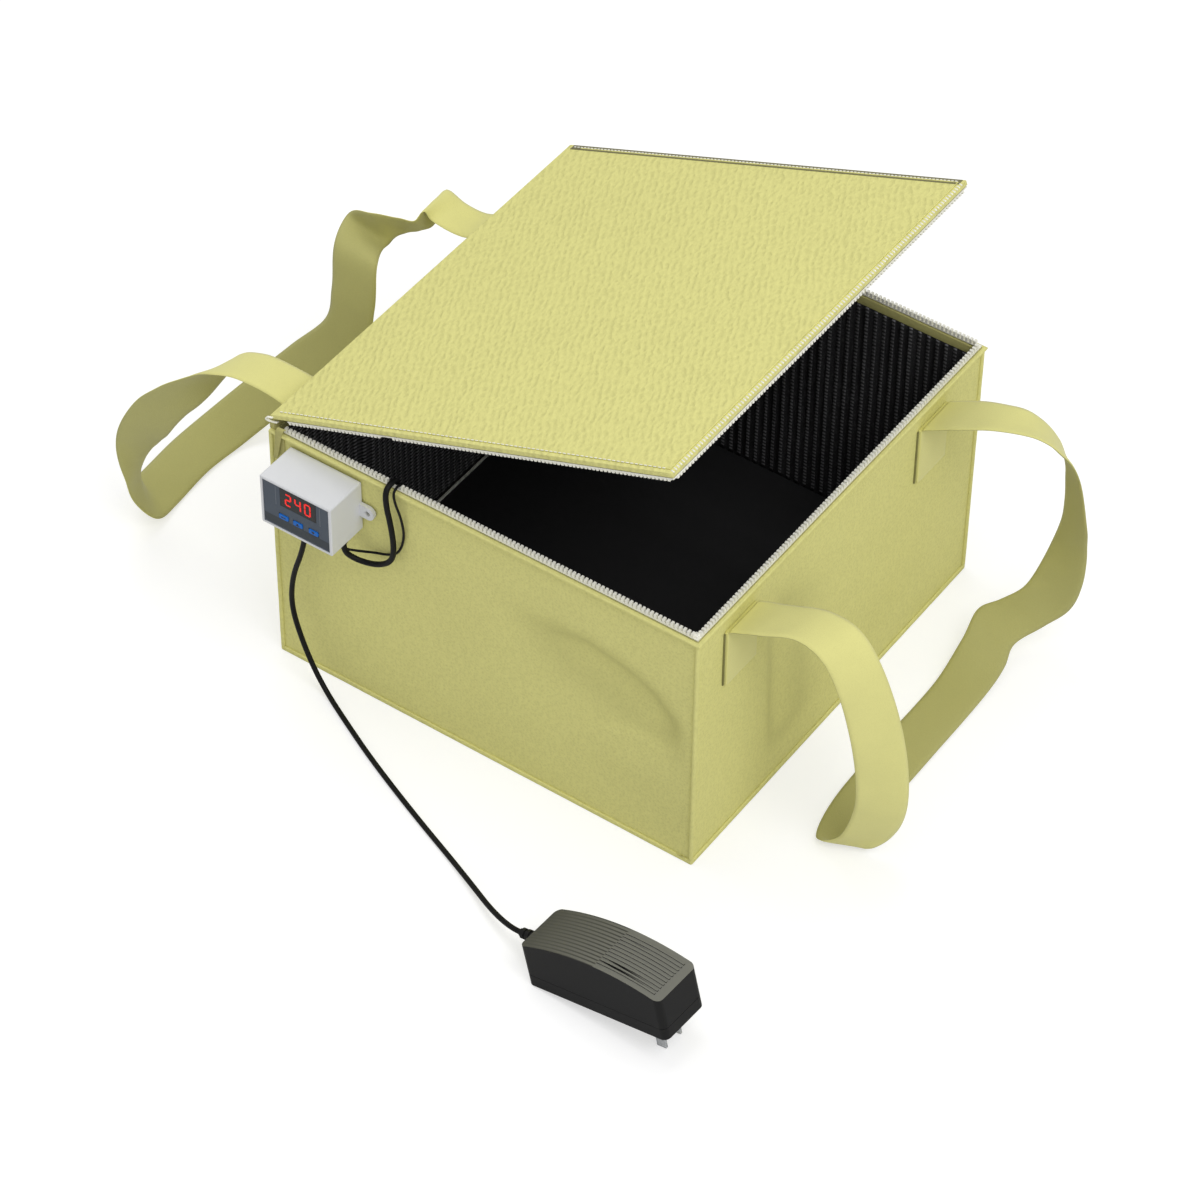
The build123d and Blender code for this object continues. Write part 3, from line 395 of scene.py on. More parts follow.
looks = {
    "bag_fabric": pressed_fabric("bag_fabric", olive, dotted, 0.2 * mm, 0.3),
    "lid_fabric": pressed_fabric("lid_fabric", olive, slanting_grains, 0.7 * mm, 0.34),
    "seam_fabric": piping_material("seam_fabric", shade(olive, 1.02)),
    "binding_fabric": piping_material("binding_fabric", (0.50, 0.47, 0.18)),
    "webbing": webbing_material("webbing", shade(olive, 1.02)),
    "zip_tape": piping_material("zip_tape", (0.20, 0.19, 0.10)),
    "zip_teeth": pale_material("zip_teeth", (0.90, 0.89, 0.80)),
    "zip_metal": moulded_plastic("zip_metal", (0.62, 0.59, 0.33), 0.35),
    "foam": foam_material("foam", (0.8, 0.8, 0.78)),
    "lining": lining_material("lining", (0.024, 0.024, 0.025), (0.38, 0.38, 0.39)),
    "pad": lining_material("pad", (0.020, 0.020, 0.021), (0.045, 0.045, 0.045)),
    "element": moulded_plastic("element", (0.02, 0.02, 0.02), 0.5),
    "case": moulded_plastic("case", (0.72, 0.73, 0.75), 0.42),
    "face": moulded_plastic("face", (0.05, 0.07, 0.10), 0.4),
    "window": moulded_plastic("window", (0.004, 0.004, 0.005), 0.2, specular=0.4),
    "digits": lit_material("digits", (0.75, 0.012, 0.008), 0.55),
    "buttons": moulded_plastic("buttons", (0.004, 0.14, 0.56), 0.45, specular=0.3),
    "electronics": moulded_plastic("electronics", (0.02, 0.14, 0.05), 0.5),
    "black_plastic": moulded_plastic(
        "black_plastic", (0.007, 0.007, 0.007), 0.5, grain=1200, depth=0.06 * mm, specular=0.22
    ),
    "cord": moulded_plastic(
        "cord", (0.005, 0.005, 0.005), 0.5, grain=1400, depth=0.04 * mm, specular=0.18
    ),
    "steel": brushed_metal("steel", (0.72, 0.72, 0.72)),
    "blades": clear_plastic("blades", (0.80, 0.82, 0.84)),
}
slots = {entry["node"]: entry["material_slot"] for entry in frame["record"]["subparts"]}

# Width in millimetres of the eased edges of rigid nodes
eased = {
    "controller_case": 0.6, "controller_bezel": 0.5, "face_plate": 0.12, "display_window": 0.15,
    "button_set": 0.25, "button_up": 0.25, "button_down": 0.25, "adapter_lower": 0.3,
    "plug_plate": 0.3, "plug_blades": 0.3, "zip_slider": 0.25, "zip_pull": 0.2, "pad_boot": 0.6,
    "adhesive_pad": 0.1, "relay": 0.3, "terminal_block": 0.3, "strain_relief": 0.15,
}


def dress_nodes():
    """Every CAD node gets the material of its slot, and rigid ones get eased edges."""
    adapter_look = adapter_material()
    for node, item in frame["nodes"].items():
        item.data.materials.clear()
        item.data.materials.append(adapter_look if node.startswith("adapter") else looks[slots[node]])
        if node in eased:
            ease = item.modifiers.new("eased", "BEVEL")
            ease.width = eased[node] * mm
            ease.segments = 2
            ease.limit_method = "ANGLE"
            ease.angle_limit = math.radians(40)
            ease.use_clamp_overlap = True
    ridged = frame["nodes"]["adapter_upper"]
    ridged.modifiers.new("even_shading", "WEIGHTED_NORMAL").keep_sharp = True


dress_nodes()


# Piece helpers
def add_mesh(name, vertices, faces, slot, body="bag", nodes=(), smooth=True):
    mesh = bpy.data.meshes.new(name)
    mesh.from_pydata([tuple(vertex) for vertex in vertices], [], faces)
    mesh.validate()
    return add_object(name, mesh, slot, body, nodes, smooth)


def add_object(name, data, slot, body="bag", nodes=(), smooth=True):
    item = bpy.data.objects.new(name, data)
    bpy.context.scene.collection.objects.link(item)
    data.materials.clear()
    data.materials.append(looks[slot])
    if smooth and hasattr(data, "polygons"):
        for polygon in data.polygons:
            polygon.use_smooth = True
    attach(item, body)
    if nodes:
        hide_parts(*nodes)
    return item


def set_marks(mesh, domain, marks):
    mesh.attributes.new("mark", "FLOAT", domain).data.foreach_set("value", marks)


merge_distance = 1e-6
sharp_angle = 0.7
grain_scale = 90


def soft_copy(
    node, body, cell, shape=None, round_edge=0.25 * mm, space=None, grain=0.0, mark=None
):
    """Soft stand-in for a CAD sheet: its own outline, rounded edges, a fine grid and a shape.

    shape(point, normal) gives how far a point moves, in the piece's own space, and
    mark(point) gives a number that the material reads.
    """
    grid = bmesh.new()
    grid.from_mesh(frame["nodes"][node].data)
    if space:
        bmesh.ops.transform(grid, matrix=space, verts=grid.verts)
    bmesh.ops.remove_doubles(grid, verts=grid.verts, dist=merge_distance)
    joined = [edge for edge in grid.edges if len(edge.link_faces) == 2]
    sharp = [edge for edge in joined if edge.calc_face_angle() > sharp_angle]
    if round_edge:
        bmesh.ops.bevel(
            grid, geom=sharp, offset=round_edge, segments=2, profile=0.5,
            affect="EDGES", clamp_overlap=True,
        )
    low = [min(vertex.co[axis] for vertex in grid.verts) for axis in range(3)]
    high = [max(vertex.co[axis] for vertex in grid.verts) for axis in range(3)]
    for axis in range(3):
        count = int((high[axis] - low[axis]) / cell)
        direction = [0, 0, 0]
        direction[axis] = 1
        for step in range(1, count + 1):
            place = [0, 0, 0]
            place[axis] = low[axis] + (high[axis] - low[axis]) * step / (count + 1)
            geometry = grid.verts[:] + grid.edges[:] + grid.faces[:]
            bmesh.ops.bisect_plane(grid, geom=geometry, plane_co=place, plane_no=direction)
    grid.normal_update()
    marks = [mark(vertex.co) for vertex in grid.verts] if mark else []
    moves = []
    for vertex in grid.verts:
        move = shape(vertex.co, vertex.normal) if shape else Vector()
        if grain:
            move = move + vertex.normal * grain * noise.noise(vertex.co * grain_scale)
        moves.append(move)
    for vertex, move in zip(grid.verts, moves):
        vertex.co += move
    if space:
        bmesh.ops.transform(grid, matrix=space.inverted(), verts=grid.verts)
    mesh = bpy.data.meshes.new(node + "_cloth")
    grid.to_mesh(mesh)
    grid.free()
    if marks:
        set_marks(mesh, "POINT", marks)
    item = add_object(node + "_cloth", mesh, slots[node], body, (node,))
    item.data.set_sharp_from_angle(angle=math.radians(50))


def tube_faces(stations, ring):
    """Faces of a closed tube that has this many stations of this many points each."""
    faces = []
    for station in range(stations - 1):
        for step in range(ring):
            after = (step + 1) % ring
            row = station * ring
            faces.append((row + step, row + ring + step, row + ring + after, row + after))
    faces.append(tuple(range(ring)))
    faces.append(tuple(reversed(range((stations - 1) * ring, stations * ring))))
    return faces


def fade(value, low, high):
    """Smooth step from 0 at low to 1 at high."""
    part = min(max((value - low) / (high - low), 0), 1)
    return part * part * (3 - 2 * part)


# Power cord and the two leads
def from_case(along, out, up):
    """Route point, in millimetres along from the controller's middle and out from the front."""
    return Vector((case_middle + along * mm, -half - out * mm, up * mm))


# Heights and distances that the routes share, in millimetres
bush_out = 13.25
lead_start = 132.6
cord_rest = 1.7
cross_z = 181.85
boot_end = 9.7
relief_end = Vector((103.9, -251.6, 14.1)) * mm
cord_run = Vector((91.2, -251.0, 11.2)) * mm
power_route = (
    from_case(-7, bush_out, lead_start),
    from_case(-7, bush_out, lead_start - 9),
    from_case(-9.8, 13.2, 108),
    from_case(-18, 13.5, 83),
    from_case(-20.5, 13, 58),
    from_case(-14.5, 13, 35),
    from_case(-5.5, 14, 16),
    from_case(6, 16, cord_rest),
    from_case(27, 27, cord_rest),
    from_case(59, 43, cord_rest),
    from_case(105, 63, cord_rest),
    from_case(150, 81, cord_rest),
    cord_run,
    relief_end,
)
heater_route = (
    from_case(20.5, bush_out, lead_start),
    from_case(20.5, bush_out, lead_start - 5),
    from_case(22, 11.5, 122),
    from_case(29.5, 8.5, 118.5),
    from_case(40, 6.5, 120),
    from_case(48.5, 5.5, 127),
    from_case(50.5, 5.6, 139),
    from_case(49, 6, 156),
    from_case(46, 6, 170),
    from_case(45.5, 5.2, cross_z),
    from_case(45.5, -6.1, cross_z),
    from_case(44.5, -6.6, 168),
    from_case(43.5, -6.4, 145),
    from_case(45, -6.4, 105),
    from_case(43.5, -6.4, 60),
    from_case(44.5, -6.8, 30),
    from_case(45, -8.5, 16),
    from_case(45.5, -9.7, boot_end),
    from_case(45, -16.2, boot_end),
)
sensor_route = (
    from_case(14, bush_out, lead_start),
    from_case(14, bush_out, lead_start - 4),
    from_case(18.5, 10, 123.5),
    from_case(25, 4.5, 121),
    from_case(34, 2, 123),
    from_case(44, 1.9, 126.5),
    from_case(51.5, 1.9, 133),
    from_case(55.5, 2, 148),
    from_case(54, 3.2, 163),
    from_case(51, 4.3, 173),
    from_case(50, 4.4, cross_z),
    from_case(50, -5.4, cross_z),
    from_case(50.6, -5.8, 172),
    from_case(51.6, -6.1, 156),
    from_case(51.8, -6.3, 136),
    from_case(52, -6.2, 118),
)


def add_lead(name, node, route, diameter, length, **facts):
    """Round cord on one smooth curve along its route."""
    curve = bpy.data.curves.new(name, "CURVE")
    curve.dimensions = "3D"
    curve.bevel_depth = diameter / 2
    curve.bevel_resolution = 6
    curve.use_fill_caps = True
    spline = curve.splines.new("NURBS")
    spline.points.add(len(route) - 1)
    for point, place in zip(spline.points, route):
        point.co = (*place, 1)
    spline.order_u = 3
    spline.use_endpoint_u = True
    spline.resolution_u = 16
    item = add_object(name, curve, "cord", "bag", (node,))


adapter_nodes = (
    "strain_relief", "adapter_lower", "adapter_upper", "adapter_core", "plug_plate", "plug_blades"
)
adapter_pieces = [frame["nodes"][node] for node in adapter_nodes]
add_lead(
    "power_cord_line", "power_cord", power_route, 3.2 * mm, 0.3629,
    far_end="plug", stiffness="medium", lay="loose", with_pieces=adapter_pieces,
)
add_lead(
    "heater_lead_line", "heater_lead", heater_route, 3.4 * mm, 0.281,
    far_end="object", stiffness="medium", lay="hanging",
)
add_lead(
    "sensor_lead_line", "sensor_lead", sensor_route, 1.5 * mm, 0.1695,
    far_end="fitting", stiffness="limp", lay="hanging",
    with_pieces=[frame["nodes"]["sensor_probe"]],
)


# Walls
def pucker(along, up, seed):
    """Faint soft waves in a wall's cloth, in metres."""
    place = Vector((along * 11, up * 14, seed))
    return 1.1 * mm * noise.noise(place) + 0.35 * mm * noise.noise(place * 3.1)


def edge_hold(along, up):
    """1 in the middle of a wall and 0 where its edges are sewn."""
    sides = fade(half - abs(along), 1 * mm, 16 * mm)
    return sides * fade(up, 3 * mm, 22 * mm) * fade(wall_top - up, 5 * mm, 22 * mm)


def bank(along, up, path, drop, tail):
    """How far a place lies into a dent, 0 to 1.

    The dent falls within drop of its path and rises slowly over tail on the path's
    right-hand side. The path is given in millimetres, and the dent fades out at its ends.
    """
    nearest = (1, 0, 0)
    place = Vector((along, up)) / mm
    spans = len(path) - 1
    for index in range(spans):
        start = Vector(path[index])
        run = Vector(path[index + 1]) - start
        offset = place - start
        part = min(max(offset.dot(run) / run.length_squared, 0), 1)
        gap = (offset - run * part).length * mm
        if index == 0 or gap < nearest[0]:
            side = 1 if run.x * offset.y < run.y * offset.x else -1
            nearest = (gap, side, (index + part) / spans)
    gap, side, part = nearest
    reach = gap * side
    ends = fade(part, 0, 0.3) * fade(1 - part, 0, 0.3)
    return fade(reach, -drop, drop) * math.exp(-((max(reach, 0) / tail) ** 2)) * ends


front_dent = (
    (0, 136), (36, 132), (72, 131), (96, 125), (115, 116), (129, 102), (134, 84), (134, 52)
)
side_dent = ((-61, 6), (-64, 32), (-67, 75), (-70, 121), (-72, 160))
wide_drop, wide_tail = 13 * mm, 42 * mm
narrow_drop, narrow_tail = 8 * mm, 26 * mm
front_depth = 9 * mm
side_depth = 4.6 * mm
dent_shade_strength = 0.45


def front_shape(point, normal):
    """Long slanting dent down to the right, and a flat place for the controller."""
    hold = edge_hold(point.x, point.z)
    from_case = math.hypot((point.x - case_middle) / 1.4, point.z - case_height)
    dent = bank(point.x, point.z, front_dent, wide_drop, wide_tail)
    deep = pucker(point.x, point.z, 3) - front_depth * dent
    return Vector((0, -1, 0)) * hold * fade(from_case, 24 * mm, 44 * mm) * deep


def dent_shade_mark(path, across):
    """Mark for painted shade along a dent, strongest just inside its path."""

    def mark(point):
        along = point.x if across else point.y
        depth = bank(along, point.z, path, wide_drop, wide_tail)
        return dent_shade_strength * fade(depth, 0, 0.8) * fade(1 - depth, 0, 0.5)

    return mark


def side_shape(side, seed):
    """Waves in a side wall, an upright dent, and flat places behind the strap ends."""

    def shape(point, normal):
        hold = edge_hold(point.y, point.z)
        for middle in strap_end_middles:
            aside = max(abs(point.y - middle) - 15 * mm, 0)
            below = max(125 * mm - point.z, 0)
            hold *= fade(math.hypot(aside, below), 0, 14 * mm)
        dent = bank(point.y, point.z, side_dent, narrow_drop, narrow_tail)
        deep = pucker(point.y, point.z, seed) - side_depth * dent
        return Vector((side, 0, 0)) * hold * deep

    return shape


def back_shape(point, normal):
    return Vector((0, 1, 0)) * edge_hold(point.x, point.z) * pucker(point.x, point.z, 21)


right_shape = side_shape(1, 8)
left_shape = side_shape(-1, 14)


def ring_shape(point, normal):
    """The lining follows the wall in front of it."""
    if abs(point.x) > abs(point.y):
        return (right_shape if point.x > 0 else left_shape)(point, normal)
    return (front_shape if point.y < 0 else back_shape)(point, normal)


def foam_shape(point, normal):
    """The foam follows too, a little thinner, so that it stays inside the dents."""
    return ring_shape(point, normal) - Vector((normal.x, normal.y, 0)) * 0.5 * mm


rib_foot = 7.3 * mm
rib_reach = half - 3 * mm


def lining_light_mark(point):
    """How much painted light the lining gets: painted highlights on its upright ribs, and painted light over the
    whole hinge side.
    """
    if point.z < rib_foot:
        return 0.0
    between = max(abs(point.x), abs(point.y)) > rib_reach
    if point.x < -half + 4 * mm:
        return 0.35 if between else 1.0
    return 0.0 if between else 0.5


soft_copy("front_panel", "bag", 4 * mm, front_shape, mark=dent_shade_mark(front_dent, True))
soft_copy("right_panel", "bag", 5 * mm, right_shape, mark=dent_shade_mark(side_dent, False))
soft_copy("left_panel", "bag", 6 * mm, left_shape)
soft_copy("back_panel", "bag", 6 * mm, back_shape)
soft_copy("wall_foam", "bag", 4 * mm, foam_shape, round_edge=0)
soft_copy("base_panel", "bag", 20 * mm)
trims = {"corner_seams": 6, "base_seam": 7, "rim_piping": 4, "rim_binding": 8}
for trim, trim_cell in trims.items():
    soft_copy(trim, "bag", trim_cell * mm, round_edge=0.2 * mm, grain=0.12 * mm)
soft_copy("hinge_strip", "bag", 6 * mm, grain=0.2 * mm)
soft_copy("corner_tabs", "bag", 3 * mm, round_edge=0.15 * mm)
soft_copy("box_zip_tape", "bag", 8 * mm, round_edge=0.1 * mm)
for side_name in ("right", "left"):
    soft_copy(side_name + "_strap_ends", "bag", 3 * mm, round_edge=0.5 * mm, grain=0.15 * mm)
soft_copy("wall_lining", "bag", 5 * mm, ring_shape, round_edge=0, mark=lining_light_mark)
soft_copy("base_lining", "bag", 40 * mm, round_edge=0)


pad_half = 141 * mm
row_pitch = 24 * mm


def pad_shape(point, normal):
    """The cover swells between the element's rows and dips along its sewn edge."""
    if normal.z < 0.5:
        return Vector()
    edge = min(pad_half - abs(point.x), pad_half - abs(point.y))
    rows = 0.5 + 0.5 * math.cos(point.y / row_pitch * math.tau)
    seam = math.exp(-(((edge - 5 * mm) / (1.5 * mm)) ** 2))
    return Vector((0, 0, -0.5 * mm * seam + 0.25 * mm * rows))


soft_copy("pad_cover", "bag", 4 * mm, pad_shape)
soft_copy("pad_sheet", "bag", 40 * mm, round_edge=0)


# Lid
def lid_shape(point, normal):
    """Faint waves in the lid's cloth, none near its edges or hinge."""
    hold = fade(point.x, 2 * mm, 20 * mm) * fade(lid_length - point.x, 6 * mm, 22 * mm)
    hold *= fade(half - abs(point.y), 6 * mm, 22 * mm)
    wave = 0.5 * mm * noise.noise(Vector((point.x * 18, point.y * 18, 5)))
    return Vector((0, 0, 1)) * hold * wave if point.z > 0 else Vector()


def lid_rib_highlight_mark(point):
    """The lid's ribs stand out below its lining, with painted highlights."""
    return 0.4 if point.z < -lid_radius - 0.1 * mm else 0.0


soft_copy("lid_panel", "lid", 5 * mm, lid_shape, space=to_lid)
soft_copy("lid_lining", "lid", 24 * mm, round_edge=0, space=to_lid, mark=lid_rib_highlight_mark)
soft_copy("lid_zip_tape", "lid", 8 * mm, round_edge=0.1 * mm, space=to_lid)
soft_copy("lid_cord", "lid", 3 * mm, round_edge=0.25 * mm, space=to_lid, grain=0.15 * mm)


# Straps
strap_width = 30 * mm
strap_thickness = 1.5 * mm
strap_columns = 12


def smooth_points(points, steps):
    """Points on a smooth curve through the given ones, with this many steps in each span."""
    padded = [points[0], *points, points[-1]]
    curve = []
    for before, start, end, after in zip(padded, padded[1:], padded[2:], padded[3:]):
        slope = (end - before) * 0.5
        bend = (before * 2 - start * 5 + end * 4 - after) * 0.5
        twist = (start * 3 - before - end * 3 + after) * 0.5
        for step in range(steps):
            part = step / steps
            curve.append(start + slope * part + bend * part**2 + twist * part**3)
    curve.append(points[-1])
    return curve


first_fold = ((2.8, -119, 166), (2.8, -89, 166))
last_fold = ((2.8, 107, 166), (2.8, 77, 166))
right_stations = (
    first_fold,
    ((20, -115, 171), (20, -86, 170)),
    ((40, -109, 174), (42, -80, 173)),
    ((57, -109, 167), (62, -80, 170)),
    ((68, -109, 147), (77, -81, 154)),
    ((75, -107, 116), (91, -81, 123)),
    ((77, -104, 82), (100, -79, 84)),
    ((74, -100, 50), (101, -78, 47)),
    ((61, -96, 17), (93, -75, 18)),
    ((44, -91, 4), (80, -78, 3)),
    ((39, -56, 2), (70, -50, 2)),
    ((38, 2, 2), (69, 4, 2)),
    ((38, 52, 3), (69, 56, 3)),
    ((40, 80, 15), (66, 82, 7)),
    ((38, 98, 25), (65, 96, 14)),
    ((47, 107, 32), (76, 110, 23)),
    ((58, 114, 43), (87, 119, 36)),
    ((63, 121, 56), (92, 121, 59)),
    ((67, 127, 74), (92, 121, 86)),
    ((71, 128, 100), (94, 114, 114)),
    ((68, 132, 126), (84, 116, 145)),
    ((64, 132, 145), (74, 110, 162)),
    ((56, 128, 160), (62, 102, 173)),
    ((43, 120, 172), (43, 91, 177)),
    ((23, 112, 173), (24, 82, 174)),
    last_fold,
)
left_stations = (
    first_fold,
    ((21, -119, 172), (22, -90, 169)),
    ((43, -121, 174), (46, -92, 170)),
    ((62, -124, 170), (62, -95, 163)),
    ((79, -126, 160), (70, -98, 144)),
    ((97, -129, 145), (79, -110, 129)),
    ((113, -133, 129), (88, -116, 116)),
    ((123, -136, 108), (101, -117, 97)),
    ((128, -136, 85), (117, -109, 75)),
    ((127, -132, 57), (133, -102, 53)),
    ((127, -124, 30), (143, -99, 35)),
    ((121, -111, 8), (149, -96, 21)),
    ((125, -88, 2), (155, -88, 13)),
    ((128, -54, 2), (158, -54, 11)),
    ((125, -26, 3), (153, -24, 17)),
    ((113, -4, 16), (140, -1, 34)),
    ((92, 14, 41), (118, 16, 62)),
    ((68, 27, 74), (96, 24, 88)),
    ((62, 31, 106), (92, 27, 112)),
    ((65, 38, 134), (94, 34, 140)),
    ((72, 54, 134), (97, 52, 150)),
    ((72, 64, 135), (78, 51, 161)),
    ((72, 76, 131), (66, 61, 156)),
    ((67, 84, 130), (59, 67, 153)),
    ((62, 92, 132), (58, 71, 155)),
    ((62, 103, 151), (56, 74, 157)),
    ((48, 105, 146), (50, 75, 151)),
    ((33, 107, 144), (30, 77, 148)),
    ((15, 107, 154), (14, 77, 157)),
    last_fold,
)


def add_strap(name, node, body, side, stations, seed):
    """Webbing with rounded edges and a slight curl, through its stations.

    A station gives the two edges of the webbing as (out from the wall, along it, up), in
    millimetres. The loop's inner side carries the mark, for its painted shade.
    """
    edges = []
    for edge in (0, 1):
        points = []
        for station in stations:
            out, along, up = station[edge]
            points.append(Vector((side * (half + out * mm), along * mm, up * mm)))
        edges.append(smooth_points(points, 10))
    columns = strap_columns
    section = []
    for column in range(columns + 1):
        section.append((column / columns - 0.5, 0.5))
    for column in range(columns + 1):
        section.append((0.5 - column / columns, -0.5))
    vertices = []
    middles = [(start + end) * 0.5 for start, end in zip(*edges)]
    count = len(middles)
    for place, middle in enumerate(middles):
        across = (edges[1][place] - edges[0][place]).normalized()
        ahead = middles[min(place + 1, count - 1)] - middles[max(place - 1, 0)]
        ahead = (ahead - across * ahead.dot(across)).normalized()
        normal = ahead.cross(across)
        for share, face in section:
            rounding = 1 - 0.75 * fade(abs(share), 0.46, 0.5)
            drape = 0.35 * mm * noise.noise(Vector((place * 0.16, share * 2.2, seed)))
            ends = fade(place, 0, 8) * fade(count - 1 - place, 0, 8)
            lift = face * strap_thickness * rounding + drape * ends
            vertices.append(middle + across * share * strap_width + normal * lift)
    ring = len(section)
    inner_steps = range(columns, 2 * columns + 2) if side > 0 else range(columns)
    # The loop's inner side is marked for painted shade
    ring_shade_marks = [1.0 if step in inner_steps else 0.0 for step in range(ring)]
    item = add_mesh(name, vertices, tube_faces(count, ring), "webbing", body, (node,))
    set_marks(item.data, "FACE", ring_shade_marks * (count - 1) + [0.0, 0.0])


add_strap("right_strap_webbing", "right_handle", "right_strap", 1, right_stations, 4)
add_strap("left_strap_webbing", "left_handle", "left_strap", -1, left_stations, 9)


# Small sewn and printed details
def add_box(name, low, high, slot, body="bag", ease=0.1 * mm, mark=None, space=None):
    """Small block with eased edges between two corners."""
    grid = bmesh.new()
    bmesh.ops.create_cube(grid, size=1)
    low, high = Vector(low), Vector(high)
    for vertex in grid.verts:
        share = vertex.co + Vector((0.5, 0.5, 0.5))
        vertex.co = low + Vector([span * part for span, part in zip(high - low, share)])
    if ease:
        bmesh.ops.bevel(
            grid, geom=grid.edges[:], offset=ease, segments=2, profile=0.5, affect="EDGES"
        )
    if space:
        bmesh.ops.transform(grid, matrix=space, verts=grid.verts)
    mesh = bpy.data.meshes.new(name)
    grid.to_mesh(mesh)
    if mark is not None:
        set_marks(mesh, "POINT", [mark] * len(mesh.vertices))
    grid.free()
    add_object(name, mesh, slot, body)


def add_stitches(name, slot, body, rows, length, width, height, slant=0.0, space=None):
    """Rows of short rounded threads. A row is (start, end, up, pitch)."""
    vertices = []
    faces = []
    sides = 6
    # Each stop along a thread: its place as a share of the length, and its thickness
    stops = ((-0.5, 0.35), (-0.38, 0.9), (0.38, 0.9), (0.5, 0.35))
    for start, end, up, pitch in rows:
        start, end, up = Vector(start), Vector(end), Vector(up)
        run = (end - start).normalized()
        across = up.cross(run)
        ahead = (run * math.cos(slant) + across * math.sin(slant)).normalized()
        aside = up.cross(ahead)
        count = int((end - start).length / pitch)
        for step in range(count):
            middle = start + run * pitch * (step + 0.5)
            first = len(vertices)
            for part, size in stops:
                for turn in range(sides):
                    angle = math.tau * turn / sides
                    ring = aside * math.cos(angle) * width / 2 + up * math.sin(angle) * height
                    vertices.append(middle + ahead * part * length + ring * size)
            for stop in range(len(stops) - 1):
                for turn in range(sides):
                    low = first + stop * sides
                    after = (turn + 1) % sides
                    faces.append((low + turn, low + after, low + sides + after, low + sides + turn))
            faces.append(tuple(first + turn for turn in reversed(range(sides))))
            faces.append(tuple(first + (len(stops) - 1) * sides + turn for turn in range(sides)))
    if space:
        vertices = [space @ vertex for vertex in vertices]
    add_mesh(name, vertices, faces, slot, body)


lid_up = (0, 0, 1)
on_cord = lid_radius + 0.6 * mm
near_edge = -half + 3 * mm
add_stitches(
    "lid_edge_stitches", "zip_teeth", "lid",
    (
        (
            (4 * mm, near_edge, on_cord), (lid_length - 4 * mm, near_edge, on_cord),
            lid_up, 3.1 * mm,
        ),
    ),
    2.2 * mm, 0.8 * mm, 0.3 * mm, space=from_lid,
)
free_edge = lid_length - 0.9 * mm
add_stitches(
    "lid_edge_threads", "zip_teeth", "lid",
    (
        (
            (free_edge, -half + 1 * mm, 1.2 * mm), (free_edge, half - 1 * mm, 1.2 * mm),
            lid_up, 2.4 * mm,
        ),
    ),
    3.2 * mm, 1.2 * mm, 0.6 * mm, slant=math.radians(66), space=from_lid,
)
add_box(
    "lid_far_tape", (3 * mm, half - 4.8 * mm, lid_radius - 0.2 * mm),
    (lid_length - 2 * mm, half - 0.3 * mm, lid_radius + 0.3 * mm),
    "zip_tape", "lid", space=from_lid,
)
far_edge = half - 2.4 * mm
on_tape = lid_radius + 0.35 * mm
add_stitches(
    "lid_far_stitches", "zip_teeth", "lid",
    (
        (
            (4 * mm, far_edge, on_tape), (lid_length - 3 * mm, far_edge, on_tape),
            lid_up, 2.6 * mm,
        ),
    ),
    1.9 * mm, 1.0 * mm, 0.35 * mm, space=from_lid,
)

# Tooth that closes the row at the front right corner
add_box(
    "zip_corner_tooth", (half - 4.4 * mm, -half + 1.2 * mm, wall_top + 0.6 * mm),
    (half - 1.2 * mm, -half + 4.4 * mm, wall_top + 3.8 * mm), "zip_teeth", ease=0.4 * mm,
)

# Dark strips of painted shade in the seams beside the strap ends, and a pale welt along the heating pad
patch_low, patch_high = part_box("right_strap_ends")
sewn_places = (-119.6, 76.4)
sewn_half = 0.45
sewn_rise = 0.9 * mm
for side, side_name in ((1, "right"), (-1, "left")):
    for number, along in enumerate(sewn_places):
        face = side * half
        proud = face + side * sewn_rise
        # Painted shade: a dark strip in the seam at the strap end's edge
        add_box(
            side_name + "_seam_shade_" + str(number + 1),
            (min(face, proud), (along - sewn_half) * mm, patch_low[2]),
            (max(face, proud), (along + sewn_half) * mm, patch_high[2] - 1 * mm),
            "seam_fabric", mark=1.0,
        )
pad_low, pad_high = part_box("pad_cover")
add_box(
    "pad_welt", (pad_low[0] + 0.2 * mm, pad_low[1] + 1 * mm, pad_high[2] - 0.3 * mm),
    (pad_low[0] + 2.0 * mm, pad_high[1] - 1 * mm, pad_high[2] + 0.8 * mm),
    "zip_teeth", ease=0.4 * mm,
)


# Printed bands on the controller's face and marks on its keys
def add_prism(name, corners, front, depth, slot, body):
    """Flat shape given by its corners in x and z, standing proud of a key or the face."""
    count = len(corners)
    vertices = [(x, front, z) for x, z in corners] + [(x, front - depth, z) for x, z in corners]
    faces = [tuple(range(count)), tuple(reversed(range(count, 2 * count)))]
    for step in range(count):
        after = (step + 1) % count
        faces.append((step, step + count, after + count, after))
    return add_mesh(name, vertices, faces, slot, body, smooth=False)


def print_on_face(name, left, right, top, bottom, material):
    """Thin printed rectangle on the controller's face."""
    corners = [(left, top), (right, top), (right, bottom), (left, bottom)]
    item = add_prism(name, corners, face_low[1], print_depth, "face", "bag")
    item.data.materials[0] = material


face_low, face_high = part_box("face_plate")
key_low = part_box("button_set")[0]
window_low, window_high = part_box("display_window")
print_depth = 0.06 * mm
face_dark = moulded_plastic("face_dark", (0.022, 0.032, 0.042), 0.45)
face_pale = moulded_plastic("face_pale", (0.13, 0.15, 0.18), 0.45)
print_on_face(
    "face_band", face_low[0] + 0.4 * mm, face_high[0] - 0.4 * mm,
    key_low[2] - 0.8 * mm, face_low[2] + 1 * mm, face_dark,
)
face_lines = {
    "face_line_left": window_low[0] - 3.4 * mm,
    "face_line_right": window_high[0] + 2.6 * mm,
}
for name, left in face_lines.items():
    print_on_face(
        name, left, left + 0.5 * mm, window_high[2] - 0.5 * mm, window_low[2] - 1 * mm, face_pale
    )

